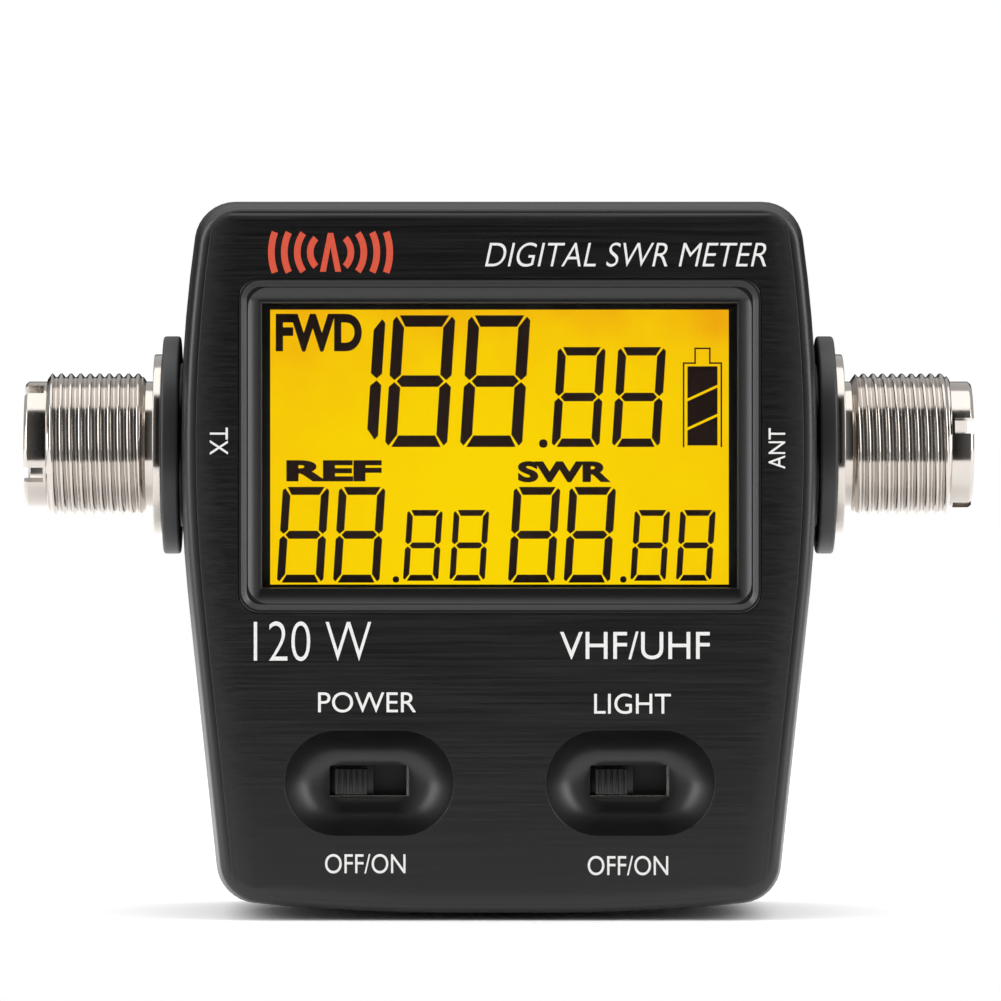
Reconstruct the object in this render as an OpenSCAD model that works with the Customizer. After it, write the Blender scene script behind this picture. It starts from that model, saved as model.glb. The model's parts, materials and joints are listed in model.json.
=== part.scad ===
// Inline SWR and power meter in a small moulded case that stands on its lower edge.
// X runs along the two sockets, from the transmitter side (-X) to the antenna side (+X).
// -Y is the front with the display, +Y is the back with the battery door, and Z is up.

/* [Case] */
// Width of the case at its widest, between the two collars
body_w = 70; // [66:0.5:86]
// Height of the case
body_h = 78.2; // [76:0.1:96]
// Depth from the front plate to the back
body_d = 38; // [37:0.5:48]
// Thickness of the case walls
wall = 2; // [1.6:0.1:2.4]
// Radius of the four case corners seen from the front
corner_r = 4.5; // [3.5:0.1:5.5]
// Radius of the long curve of each side
side_r = 165; // [140:5:260]
// Lean of the straight lower part of each side, in degrees
taper_a = 6; // [3:0.5:7]
// Flat part of the lower edge that the case stands on
foot_w = 10; // [6:1:16]
// Radius of the lower edge beside the flat part
foot_r = 205; // [150:5:400]
// How much the sides draw in from the middle of the depth to the front and the back
side_bulge = 1; // [0.4:0.1:1.4]
// Rounding between the sides and the front
front_edge_r = 1.1; // [0.8:0.1:1.4]
// Rounding between the sides and the back
back_edge_r = 2.6; // [2:0.1:3]

/* [Front plate and display] */
// Thickness of the front plate
plate_t = 0.6; // [0.4:0.1:1]
// Height of the socket axis and of the display's middle
axis_z = 51.4; // [50:0.2:56]
// Width of the display surround
bezel_w = 56.5; // [52:0.5:57]
// Height of the display surround
bezel_h = 36.2; // [34:0.2:37]
// Corner radius of the display surround
bezel_r = 2.2; // [1:0.2:4]
// Width of the opening at the bottom of the surround
view_w = 51.7; // [47:0.1:52]
// Height of the opening at the bottom of the surround
view_h = 31; // [28:0.1:32]
// Depth of the surround's slope
bezel_depth = 2.8; // [2:0.1:3.4]
// Thickness of the display window
window_t = 1; // [0.8:0.1:1.2]

/* [Switches] */
// Distance of each switch from the middle of the case
switch_x = 14.13; // [12:0.1:17]
// Height of the switches
switch_z = 14.9; // [12:0.1:16]
// Width of the hollow around each switch
dish_w = 18.3; // [15:0.1:20]
// Height of the hollow around each switch
dish_h = 11.4; // [9:0.1:12]
// Depth of the hollow below the front plate's face
dish_depth = 3.8; // [3:0.1:3.9]
// Width of the opening for the slider
slot_w = 8.6; // [8:0.1:10]
// Height of the opening for the slider
slot_h = 3.55; // [3:0.05:4]
// Width of the slider's knob
knob_w = 3.5; // [3:0.1:4]
// Travel of the slider
switch_travel = 4; // [3:0.1:4]

/* [Sockets] */
// Outside diameter of the socket's thread
thread_d = 15.8; // [15.6:0.05:16.2]
// Length of the thread
thread_l = 10.75; // [9:0.25:13]
// Length of the notched rim beyond the thread
rim_l = 2.4; // [1.6:0.1:3]
// Diameter of the rim and of the neck behind the thread
neck_d = 14; // [13.6:0.1:14.4]
// Length of the neck between the thread and the flange
neck_l = 1.05; // [0.6:0.05:2]
// Bore of the socket's mouth
mouth_d = 12; // [11.8:0.1:12.4]
// Depth of the mouth from the rim to the insulator
mouth_l = 8.15; // [7:0.05:9.5]
// Bore of the centre contact
contact_bore_d = 4; // [3.8:0.05:4.2]
// Diameter of the flange
flange_d = 20; // [18:0.5:22]
// Thickness of the flange
flange_t = 1; // [0.8:0.1:2]
// Diameter of the spacer collar
collar_d = 24; // [22:0.5:25]
// Thickness of the spacer collar
collar_t = 1.9; // [1:0.1:3]

/* [Battery] */
// Diameter of one cell
cell_d = 10.4; // [10:0.1:10.5]
// Length of one cell over its button
cell_l = 44.5; // [43:0.1:45]
// Thickness of the battery door
door_t = 1.6; // [1.4:0.1:2]
// Battery door angle, for looking at the open bay
door_angle = 0; // [0:5:80]

/* [Hidden] */
$fn = 96;
hull_fn = 24;
sliver = 0.01;
past = 1;

// Running gap around every slider
slide_gap = 0.2;
// Gap around a piece that drops into a seat
seat_gap = 0.15;

front_y = -body_d/2;
back_y = body_d/2;
face_y = front_y + plate_t;
collar_gap = 0.8;
part_y = -collar_d/2 - collar_gap;

// Gap between pieces turned or drilled to fit each other
fit_gap = 0.05;

// Lip where the two shells meet
lip_l = 1.6;
lip_t = wall/2 - 0.1;
lip_root = 0.6;
lip_step = 0.15;

// Front plate inside the edge of the case
plate_side_in = side_bulge + front_edge_r;
plate_edge_in = 1.65;
plate_corner_r = 2.5;

// Display stack, from the window back to the board
bezel_lip_t = 0.8;
rim_flat = 0.5;
window_y = front_y + bezel_depth + bezel_lip_t;
glass_y = window_y + window_t;
glass_t = 1.1;
glass_edge = 1;
glass_w = view_w + 2*glass_edge;
glass_h = view_h + 2*glass_edge;
ledge_h = 2.6;
led_bay_w = 2.4;
strip_h = 2;
guide_y = glass_y + 2*glass_t;
guide_t = 2.2;
board_y = guide_y + guide_t;
board_t = 1.6;
board_back_y = board_y + board_t;
frame_t = 0.6;
frame_w = glass_w + 2*(seat_gap + frame_t);
frame_h = glass_h + 2*(seat_gap + frame_t);
window_edge_w = 1.5;
window_edge_h = 1.3;
window_w = view_w + 2*window_edge_w;
window_h = view_h + 2*window_edge_h;
bezel_wall = 1.2;

// Switches
dish_floor_y = front_y + dish_depth;
dish_floor_t = 1;
dish_wall = 1;
dish_floor_edge = 0.8;
dish_floor_w = slot_w + 2*dish_floor_edge;
dish_floor_h = slot_h + 2*dish_floor_edge;
switch_y = dish_floor_y + dish_floor_t;
switch_sheet_t = 0.4;
frame_slot_w = knob_w + switch_travel + 2*slide_gap;
frame_slot_h = slot_h - switch_sheet_t;
knob_h = frame_slot_h - 2*slide_gap;
knob_proud = 0.3;
carrier_edge_w = 0.7;
carrier_edge_h = 0.4;
carrier_w = knob_w + 2*carrier_edge_w;
carrier_h = knob_h + 2*carrier_edge_h;
carrier_t = 1.4;
switch_wall = 0.8;
switch_cavity_w = carrier_w + switch_travel + 2*slide_gap;
switch_cavity_h = carrier_h + 2*slide_gap;
switch_body_w = switch_cavity_w + 2*switch_wall;
switch_body_h = switch_cavity_h + 2*switch_wall;
rib_count = 5;
rib_w = 0.36;
rib_h = 0.35;

// Board and its posts
board_w = 57;
board_low_z = 5;
board_corner_cut = 10;
board_corner_out = 2.6;
board_high_z = body_h - 4;
post_r = 1.9;
post_x = 22;
post_high_z = board_high_z - 1.7;
post_low_z = axis_z - bezel_h/2 - 3.9;
screw_r = 0.9;
screw_head_r = 1.7;
screw_head_t = 1.2;
board_screw_y = board_y - 4.5;
screw_hole_over = 0.5;

// Battery bay, measured from the back
cell_r = cell_d/2;
bay_gap = 0.6;
bay_wall = 1.2;
sheet_t = 0.4;
sheet_w = 9.2;
pip_r = 2.4;
spring_l = 4.8;
button_gap = 0.9;
bay_w = cell_l + spring_l + button_gap + 2*sheet_t;
bay_h = 2*cell_d + 3*bay_gap;
bay_z = 5.4;
door_gap = 0.2;
door_seat_y = back_y - door_t;
hinge_y = back_y - door_t/2;
cell_y = door_seat_y - bay_gap - cell_r;
cell_gap = 0.4;
bay_y = cell_y - cell_r - cell_gap;
lower_cell_z = bay_z + bay_gap + cell_r;
upper_cell_z = lower_cell_z + cell_d + bay_gap;
cell_x0 = -bay_w/2 + sheet_t;
upper_cell_x = cell_x0 + spring_l;
lower_cell_x = cell_x0 + button_gap;
door_w = bay_w + 2.2;
door_low_z = bay_z - 1;
hinge_z = door_low_z + door_t/2;
door_h = bay_h + 1.4;
hook_x = 15;
hook_w = 6;
hook_t = 1.2;
hook_drop = 1.3;
hook_gap = 0.3;
hook_y = back_y - wall - door_gap - hook_t;
arm_low_z = door_low_z + 0.2;
arm_high_z = door_low_z + 1.6;
thumb_r = 4;
thumb_rise = 1.6;
thumb_depth = 0.9;
lead_z = bay_z + 1.6;
red_lead_x = bay_w/2 - 3;
black_lead_x = bay_w/2 - 8;
lead_gap = 0.3;
lead_r = 0.6;

// Case screws
tower_r = 3.3;
tower_bore_r = 2.3;
case_screw_r = 1.25;
case_head_r = 2.15;
case_head_t = 1.7;
boss_r = 2.3;
case_screw_seat_y = -5;
case_screw_l = 10.6;
case_screw_y = case_screw_seat_y - case_screw_l;
tower_gap = 0.4;
tower_high_z = body_h - 5;
tower_low_z = min(bay_z + bay_h + 2.5, axis_z - frame_h/2 - tower_r - tower_gap + fit_gap);
tower_high_x = body_w/2 - 6.6;
tower_low_x = body_w/2 - 6;

// Sockets, measured outwards from the middle of the case
pad_r = 9;
pad_t = 2.5;
seat_x = body_w/2;
pad_x = seat_x - pad_t;
flange_x = seat_x + collar_t;
neck_x = flange_x + flange_t;
thread_x = neck_x + neck_l;
rim_x = thread_x + thread_l;
tip_x = rim_x + rim_l;
mouth_x = tip_x - mouth_l;
barrel_d = 14;
barrel_hole_d = barrel_d + 2*slide_gap;
washer_t = 0.6;
washer_w = 2.2;
nut_t = 2.5;
nut_d = 20.6;
barrel_l = 1.1;
barrel_x = pad_x - washer_t - nut_t - barrel_l;
insulator_d = 10.9;
contact_d = 6;
contact_l = 9.5;
contact_bore_l = 8;
pin_d = 3;
notch_w = 1.8;
notch_turn_tx = 28;
notch_turn_ant = 18;

// Coupler between the two barrels
box_t = 0.8;
box_hole_gap = 0.9;
box_x = barrel_x;
box_y0 = -6;
box_y1 = 7;
box_half_h = 9;
rod_d = 3;
rod_end_x = box_x - 3;
sense_y = 3.4;
sense_t = 1;
sense_end_gap = 4;
sense_w = 2*(box_x - box_t - sense_end_gap);
sense_h = 2*box_half_h - 2*box_t;
header_pitch = 2.54;
header_pins = 4;
header_pin_w = 0.64;
header_gap = 0.6;
header_z = axis_z - box_half_h + box_t + header_gap + header_pitch/2;

function taper_z() = axis_z - side_r*sin(taper_a);
function arc_half_w(z) = body_w/2 - side_r + sqrt(pow(side_r, 2) - pow(z - axis_z, 2));
function half_w(z) = z > taper_z()
    ? arc_half_w(z)
    : arc_half_w(taper_z()) - (taper_z() - z)*tan(taper_a);
function foot_z(x) = x <= foot_w/2 ? 0 : foot_r - sqrt(pow(foot_r, 2) - pow(x - foot_w/2, 2));
function bulge(y) = side_bulge*pow(y/(body_d/2), 2);

// Right half of the case's outline, from the lower edge up to the top, drawn in by three insets.
function right_edge(side_in, top_in, foot_in) =
    let (
        foot_end = half_w(0) - side_in,
        foot_steps = 4,
        side_z0 = foot_z(foot_end) + foot_in,
        top_z = body_h - top_in,
        side_steps = 8
    )
    concat(
        [for (i = [0:foot_steps])
            let (x = foot_w/2 + (foot_end - foot_w/2)*i/foot_steps)
            [x, foot_z(x) + foot_in]],
        [for (i = [1:side_steps])
            let (z = taper_z() + (top_z - taper_z())*(i - 1)/(side_steps - 1))
            [half_w(z) - side_in, z]]
    );

// The case's outline, looking at its front.
module outline(side_in=0, top_in=0, foot_in=0, r=corner_r) {
    right = right_edge(side_in, top_in, foot_in);
    last = len(right) - 1;
    left = [for (i = [last:-1:0]) [-right[i][0], right[i][1]]];
    offset(r=r, $fn=hull_fn) offset(delta=-r) polygon(concat(right, left));
}

// Draws a flat shape in X and Z, and gives it the depth from y0 to y1.
module plate(y0, y1) {
    translate([0, y1, 0]) rotate([90, 0, 0]) linear_extrude(y1 - y0) children();
}

module rod_y(x, z, y0, y1, r) {
    translate([x, y0, z]) rotate([-90, 0, 0]) cylinder(r=r, h=y1 - y0);
}

module rod_x(x0, x1, r) {
    translate([x0, 0, 0]) rotate([0, 90, 0]) cylinder(r=r, h=x1 - x0);
}

module box(x0, x1, y0, y1, z0, z1) {
    translate([x0, y0, z0]) cube([x1 - x0, y1 - y0, z1 - z0]);
}

module rounded(w, h, r) {
    offset(r=r, $fn=hull_fn) square([w - 2*r, h - 2*r], center=true);
}

module stadium(w, h) {
    square([w - h, h], center=true);
    for (side = [-1, 1]) translate([side*(w - h)/2, 0]) circle(d=h, $fn=hull_fn);
}

module at_display() {
    translate([0, axis_z]) children();
}

// Layers of the case as [depth, extra inset]; the hull of them is the case's outside.
// Each layer is a thin sheet that lies on the case's side of its depth.
function rounding(edge_y, way, r) = [for (a = [0:45:90])
    [edge_y - way*r*(1 - sin(a)), r*(1 - cos(a))]];
front_layers = concat([[part_y - sliver, 0]], rounding(face_y, -1, front_edge_r));
rear_layers = concat(
    [for (y = [part_y + sliver, 0, -part_y]) [y, 0]],
    rounding(back_y, 1, back_edge_r)
);
front_cavity_layers = [for (y = [face_y + wall, part_y + past]) [y, 0]];
rear_cavity_layers = [for (y = [part_y - past, 0, -part_y, back_y - wall]) [y, 0]];

// Way is -1 for the front shell, whose sheets lie behind their depth, and 1 for the rear shell.
module case_solid(layers, way, thickness=0) {
    hull() for (layer = layers) {
        y = layer[0];
        side = bulge(y) + layer[1] + thickness;
        plate(way > 0 ? y - sliver : y, way > 0 ? y : y + sliver)
            outline(side, side, layer[1] + thickness, max(corner_r - layer[1] - thickness, 0.8));
    }
}

module case_towers() {
    for (side = [-1, 1]) {
        translate([side*tower_high_x, 0, tower_high_z]) children();
        translate([side*tower_low_x, 0, tower_low_z]) children();
    }
}

module board_posts() {
    for (side = [-1, 1])
        for (z = [post_low_z, post_high_z]) translate([side*post_x, 0, z]) children();
}

/* Case */

// What stays solid inside the rear shell: the battery bay, screw towers and socket pads.
module rear_keep() {
    box(-bay_w/2 - bay_wall, bay_w/2 + bay_wall, bay_y - bay_wall, back_y,
        -past, bay_z + bay_h + bay_wall);
    case_towers() rod_y(0, 0, part_y, back_y, tower_r);
    for (side = [-1, 1]) translate([side > 0 ? pad_x : -pad_x - wall*2, 0, axis_z])
        rod_x(0, wall*2, pad_r);
}

module rear_shell() {
    lip_in = bulge(part_y) + wall/2;
    color("#1c1c1d") difference() {
        union() {
            case_solid(rear_layers, 1);
            translate([0, 0, axis_z]) rod_x(-seat_x, seat_x, pad_r);
        }
        difference() {
            union() {
                case_solid(rear_cavity_layers, 1, wall);
                plate(part_y - past, part_y + lip_l + seat_gap)
                    outline(lip_in, lip_in, wall/2, corner_r - wall/2);
            }
            rear_keep();
        }
        translate([0, 0, axis_z]) rod_x(-body_w, body_w, barrel_hole_d/2);
        case_towers() {
            rod_y(0, 0, case_screw_seat_y, back_y + past, tower_bore_r);
            rod_y(0, 0, part_y - past, back_y, case_screw_r + seat_gap);
        }
        box(-bay_w/2, bay_w/2, bay_y, back_y + past, bay_z, bay_z + bay_h);
        box(-door_w/2 - door_gap, door_w/2 + door_gap, door_seat_y - seat_gap, back_y + past,
            door_low_z - door_gap, door_low_z + door_h + door_gap);
        for (side = [-1, 1])
            box(side*hook_x - hook_w/2 - hook_gap, side*hook_x + hook_w/2 + hook_gap,
                hook_y - past, back_y - wall, door_low_z - hook_drop - hook_gap, bay_z + past);
        for (side = [-1, 1])
            box(side*hook_x - hook_w/2 - hook_gap, side*hook_x + hook_w/2 + hook_gap,
                hook_y, door_seat_y, door_low_z - door_gap, bay_z + past);
        rod_y(0, door_low_z + door_h + thumb_rise, back_y - thumb_depth, back_y + past, thumb_r);
        for (x = [red_lead_x, black_lead_x])
            rod_y(x, lead_z, bay_y - bay_wall - past, bay_y + past, lead_r + lead_gap);
    }
}

// What stays solid inside the front shell: the display seat, switch hollows and screw bosses.
module front_keep() {
    plate(face_y, window_y) at_display()
        rounded(bezel_w + 2*bezel_wall, bezel_h + 2*bezel_wall, bezel_r + bezel_wall);
    for (side = [-1, 1]) translate([side*switch_x, 0, switch_z])
        plate(face_y, switch_y) stadium(dish_w + 2*dish_wall, dish_h + 2*dish_wall);
    case_towers() rod_y(0, 0, face_y, part_y, boss_r);
}

module front_shell() {
    lip_in = bulge(part_y) + wall - lip_t;
    color("#151516") difference() {
        union() {
            difference() {
                case_solid(front_layers, -1);
                difference() {
                    case_solid(front_cavity_layers, -1, wall);
                    front_keep();
                }
            }
            difference() {
                plate(part_y - lip_root, part_y + lip_l) difference() {
                    outline(lip_in, lip_in, wall - lip_t, corner_r - wall + lip_t);
                    outline(lip_in + lip_t + lip_step, lip_in + lip_t + lip_step, wall + lip_step,
                        corner_r - wall - lip_step);
                }
                case_towers() rod_y(0, 0, part_y, part_y + lip_l + past, tower_r + seat_gap);
            }
            plate(front_y, face_y + sliver) at_display() rounded(bezel_w, bezel_h, bezel_r);
            board_posts() rod_y(0, 0, face_y + wall/2, board_y, post_r);
        }
        hull() {
            plate(front_y - sliver, front_y) at_display()
                rounded(bezel_w - 2*rim_flat, bezel_h - 2*rim_flat, bezel_r - rim_flat);
            plate(front_y + bezel_depth, front_y + bezel_depth + sliver) at_display()
                square([view_w, view_h], center=true);
        }
        plate(front_y, window_y + past) at_display() square([view_w, view_h], center=true);
        for (side = [-1, 1]) translate([side*switch_x, 0, switch_z]) {
            dish_hollow();
            box(-slot_w/2, slot_w/2, front_y, switch_y + past, -slot_h/2, slot_h/2);
        }
        board_posts() rod_y(0, 0, board_screw_y - screw_hole_over, board_y + past, screw_r);
        case_towers() rod_y(0, 0, case_screw_y - screw_hole_over, part_y + past, case_screw_r);
    }
}

// The smooth hollow around a switch: steep at its rim and flat at its floor.
module dish_hollow() {
    depth = dish_floor_y - face_y;
    hull() for (a = [0:30:90]) {
        drawn_in = 1 - cos(a);
        w = dish_w - (dish_w - dish_floor_w)*drawn_in;
        h = dish_h - (dish_h - dish_floor_h)*drawn_in;
        y = face_y + depth*sin(a);
        plate(y - sliver, y) stadium(w, h);
    }
    plate(front_y, face_y) stadium(dish_w, dish_h);
}

module fascia_plate() {
    color("#2b2b2c") plate(front_y, face_y) difference() {
        outline(plate_side_in, plate_edge_in, plate_edge_in, plate_corner_r);
        at_display() rounded(bezel_w + 2*seat_gap, bezel_h + 2*seat_gap, bezel_r + seat_gap);
        for (side = [-1, 1]) translate([side*switch_x, switch_z]) stadium(dish_w, dish_h);
    }
}

module case_screws() {
    color("#b9b9b4") case_towers() {
        rod_y(0, 0, case_screw_y, case_screw_seat_y + sliver, case_screw_r);
        rod_y(0, 0, case_screw_seat_y, case_screw_seat_y + case_head_t, case_head_r);
    }
}

/* Display */

module display_window() {
    color("#dfe3e4") plate(window_y, glass_y) at_display() square([window_w, window_h], center=true);
}

module lcd_frame() {
    color("#3a3a3c") plate(glass_y, board_y) at_display() difference() {
        square([frame_w, frame_h], center=true);
        square([frame_w - 2*frame_t, frame_h - 2*frame_t], center=true);
    }
}

module lcd_glass() {
    color("#f5c400") {
        plate(glass_y, glass_y + glass_t) at_display() square([glass_w, glass_h], center=true);
        plate(glass_y + glass_t, guide_y) at_display() translate([-glass_w/2, -glass_h/2 + ledge_h])
            square([glass_w, glass_h - ledge_h]);
    }
}

module light_guide() {
    color("#f2f2ea") plate(guide_y, board_y) at_display()
        translate([-glass_w/2 + led_bay_w, -glass_h/2 + ledge_h])
            square([glass_w - led_bay_w, glass_h - ledge_h]);
}

module backlight_leds() {
    led_w = 2;
    led_h = 3.5;
    led_pitch = 9;
    led_gap = 0.3;
    color("#ffe36e") for (i = [-1:1]) translate([-glass_w/2 + led_gap, 0, axis_z + i*led_pitch])
        box(0, led_w, guide_y + led_gap, board_y, -led_h/2, led_h/2);
}

module contact_strip() {
    strip_in = 1;
    low_z = axis_z - glass_h/2 + (ledge_h - strip_h)/2;
    color("#d98a8f") box(-glass_w/2 + strip_in, glass_w/2 - strip_in, glass_y + glass_t, board_y,
        low_z, low_z + strip_h);
}

/* Board */

module main_board() {
    color("#1f5b36") difference() {
        plate(board_y, board_back_y) difference() {
            translate([-board_w/2, board_low_z]) square([board_w, board_high_z - board_low_z]);
            for (side = [-1, 1])
                translate([side*(board_w/2 + board_corner_out), board_low_z - board_corner_out])
                    rotate(45) square(board_corner_cut, center=true);
        }
        case_towers() rod_y(0, 0, board_y - past, board_back_y + past, tower_r + tower_gap);
        board_posts() rod_y(0, 0, board_y - past, board_back_y + past, screw_r + seat_gap);
    }
}

module board_screws() {
    color("#b9b9b4") board_posts() {
        rod_y(0, 0, board_screw_y, board_back_y + sliver, screw_r);
        rod_y(0, 0, board_back_y, board_back_y + screw_head_t, screw_head_r);
    }
}

module controller_chip() {
    chip_w = 10;
    chip_z = 33;
    chip_t = 1.5;
    lead_pitch = 0.8;
    lead_l = 1.2;
    lead_w = 0.3;
    lead_t = 0.25;
    lead_in = 0.1;
    color("#26262a") {
        box(-chip_w/2, chip_w/2, board_back_y + lead_in, board_back_y + chip_t,
            chip_z - chip_w/2, chip_z + chip_w/2);
        for (turn = [0:90:270]) translate([0, board_back_y, chip_z]) rotate([0, turn, 0])
            for (i = [-5:5]) translate([chip_w/2 - lead_in, 0, i*lead_pitch - lead_w/2])
                cube([lead_l, lead_t, lead_w]);
    }
}

module crystal() {
    can_l = 10.2;
    can_w = 4;
    can_h = 3.4;
    base_edge = 0.4;
    color("#c9c9c6") translate([14.5, board_back_y, 34]) rotate([-90, 0, 0]) {
        linear_extrude(base_edge) stadium(can_l + 2*base_edge, can_w + 2*base_edge);
        linear_extrude(can_h) stadium(can_l, can_w);
    }
}

module board_capacitors() {
    cap_l = 2;
    cap_w = 1.3;
    cap_t = 1;
    places = [[-12, 36], [-12, 33], [-12, 30], [9, 39], [-16, 22], [-11, 22], [10, 27]];
    color("#9d8b6a") for (place = places) translate([place[0], 0, place[1]])
        box(-cap_l/2, cap_l/2, board_back_y, board_back_y + cap_t, -cap_w/2, cap_w/2);
}

/* Switches: side is -1 for the power switch and 1 for the light switch */

module switch_body(side) {
    top_y = switch_y + switch_sheet_t;
    translate([side*switch_x, 0, switch_z]) difference() {
        box(-switch_body_w/2, switch_body_w/2, top_y, board_y, -switch_body_h/2, switch_body_h/2);
        box(-switch_cavity_w/2, switch_cavity_w/2, top_y - past, top_y + carrier_t + 2*slide_gap,
            -switch_cavity_h/2, switch_cavity_h/2);
    }
}

module switch_frame(side) {
    translate([side*switch_x, 0, switch_z]) difference() {
        box(-switch_body_w/2 - switch_sheet_t, switch_body_w/2 + switch_sheet_t, switch_y, board_y,
            -switch_body_h/2, switch_body_h/2);
        box(-switch_body_w/2, switch_body_w/2, switch_y + switch_sheet_t, board_y + past,
            -switch_body_h/2 - past, switch_body_h/2 + past);
        box(-frame_slot_w/2, frame_slot_w/2, switch_y - past, switch_y + past,
            -frame_slot_h/2, frame_slot_h/2);
    }
}

// A slider at its OFF end, with a ribbed knob that stands through the slot.
module slider(side) {
    rest_x = -switch_travel/2;
    knob_y = dish_floor_y - knob_proud;
    carrier_y = switch_y + switch_sheet_t + slide_gap;
    translate([side*switch_x + rest_x, 0, switch_z]) {
        box(-carrier_w/2, carrier_w/2, carrier_y, carrier_y + carrier_t, -carrier_h/2, carrier_h/2);
        box(-knob_w/2, knob_w/2, knob_y + rib_h, carrier_y + sliver, -knob_h/2, knob_h/2);
        for (i = [0:rib_count - 1]) translate([-knob_w/2 + i*(knob_w - rib_w)/(rib_count - 1), 0, 0])
            box(0, rib_w, knob_y, knob_y + rib_h + sliver, -knob_h/2, knob_h/2);
    }
}

module power_switch_body() {
    color("#3b2a20") switch_body(-1);
}

module power_switch_frame() {
    color("#b8a77c") switch_frame(-1);
}

module power_slider() {
    color("#1b1b1b") slider(-1);
}

module light_switch_body() {
    color("#3b2a20") switch_body(1);
}

module light_switch_frame() {
    color("#b8a77c") switch_frame(1);
}

module light_slider() {
    color("#1b1b1b") slider(1);
}

/* Sockets: each piece is drawn on the antenna side, and mirrored for the transmitter side */

module on_side(side) {
    translate([0, 0, axis_z]) mirror([side < 0 ? 1 : 0, 0, 0]) children();
}

// A ring about the socket axis, drawn as [distance along X, radius] points.
module turned(points) {
    rotate([0, 90, 0]) rotate_extrude() polygon([for (p = points) [p[1], p[0]]]);
}

module socket_shell(notch_turn) {
    rim_chamfer = 0.6;
    edge_cut = 0.2;
    difference() {
        turned([
            [barrel_x, insulator_d/2 + fit_gap], [barrel_x, barrel_d/2], [flange_x, barrel_d/2],
            [flange_x, flange_d/2 - edge_cut], [flange_x + edge_cut, flange_d/2],
            [neck_x - edge_cut, flange_d/2], [neck_x, flange_d/2 - edge_cut], [neck_x, neck_d/2],
            [thread_x, neck_d/2], [thread_x, thread_d/2],
            [rim_x, thread_d/2], [rim_x, neck_d/2], [tip_x - rim_chamfer, neck_d/2],
            [tip_x, neck_d/2 - rim_chamfer/2], [tip_x, mouth_d/2], [mouth_x, mouth_d/2],
            [mouth_x, insulator_d/2 + fit_gap]
        ]);
        for (turn = [0:90:270]) rotate([notch_turn + turn, 0, 0])
            box(rim_x + edge_cut, tip_x + past, mouth_d/2 - past, neck_d, -notch_w/2, notch_w/2);
    }
}

module insulator() {
    turned([[barrel_x, pin_d/2 + fit_gap], [barrel_x, insulator_d/2], [mouth_x, insulator_d/2],
        [mouth_x, contact_d/2 + fit_gap], [mouth_x - contact_l, contact_d/2 + fit_gap],
        [mouth_x - contact_l, pin_d/2 + fit_gap]]);
}

module contact() {
    bore_end = mouth_x - contact_bore_l;
    turned([[rod_end_x, 0], [rod_end_x, pin_d/2], [mouth_x - contact_l, pin_d/2],
        [mouth_x - contact_l, contact_d/2], [mouth_x, contact_d/2], [mouth_x, contact_bore_d/2],
        [bore_end, contact_bore_d/2], [bore_end, 0]]);
}

module collar() {
    edge = 0.3;
    turned([[seat_x, barrel_hole_d/2], [seat_x, collar_d/2 - edge], [seat_x + edge, collar_d/2],
        [flange_x - edge, collar_d/2], [flange_x, collar_d/2 - edge], [flange_x, barrel_hole_d/2]]);
}

module washer() {
    turned([[pad_x - washer_t, barrel_d/2 + 2*fit_gap], [pad_x - washer_t, barrel_d/2 + washer_w],
        [pad_x, barrel_d/2 + washer_w], [pad_x, barrel_d/2 + 2*fit_gap]]);
}

module nut() {
    nut_x = pad_x - washer_t - nut_t;
    difference() {
        translate([nut_x, 0, 0]) rotate([0, 90, 0]) cylinder(d=nut_d, h=nut_t, $fn=6);
        rod_x(nut_x - past, nut_x + nut_t + past, barrel_d/2 + fit_gap);
    }
}

module tx_socket_shell() {
    color("#c8c8c4") on_side(-1) socket_shell(180 + notch_turn_tx);
}

module tx_insulator() {
    color("#f1efe6") on_side(-1) insulator();
}

module tx_contact() {
    color("#d6b25a") on_side(-1) contact();
}

module tx_collar() {
    color("#101011") on_side(-1) collar();
}

module tx_washer() {
    color("#a9a9a5") on_side(-1) washer();
}

module tx_nut() {
    color("#b9b9b4") on_side(-1) nut();
}

module ant_socket_shell() {
    color("#c8c8c4") on_side(1) socket_shell(180 + notch_turn_ant);
}

module ant_insulator() {
    color("#f1efe6") on_side(1) insulator();
}

module ant_contact() {
    color("#d6b25a") on_side(1) contact();
}

module ant_collar() {
    color("#101011") on_side(1) collar();
}

module ant_washer() {
    color("#a9a9a5") on_side(1) washer();
}

module ant_nut() {
    color("#b9b9b4") on_side(1) nut();
}

/* Coupler */

module coupler_box() {
    in_x = box_x - box_t;
    in_z = box_half_h - box_t;
    color("#c2b280") translate([0, 0, axis_z]) difference() {
        box(-box_x, box_x, box_y0, box_y1, -box_half_h, box_half_h);
        box(-in_x, in_x, box_y0 + box_t, box_y1 + past, -in_z, in_z);
        rod_x(-body_w, body_w, pin_d/2 + box_hole_gap);
        box(-header_pitch*header_pins/2, header_pitch*header_pins/2, box_y0 - past, box_y0 + past,
            header_z - axis_z - header_pitch/2, header_z - axis_z + header_pitch/2);
    }
}

module coupler_lid() {
    color("#c9bb8c") translate([0, 0, axis_z])
        box(-box_x, box_x, box_y1, box_y1 + box_t, -box_half_h, box_half_h);
}

module line_rod() {
    color("#caa04a") translate([0, 0, axis_z]) rod_x(-rod_end_x, rod_end_x, rod_d/2);
}

module sense_board() {
    color("#2a6a43") translate([0, 0, axis_z])
        box(-sense_w/2, sense_w/2, sense_y, sense_y + sense_t, -sense_h/2, sense_h/2);
}

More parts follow.
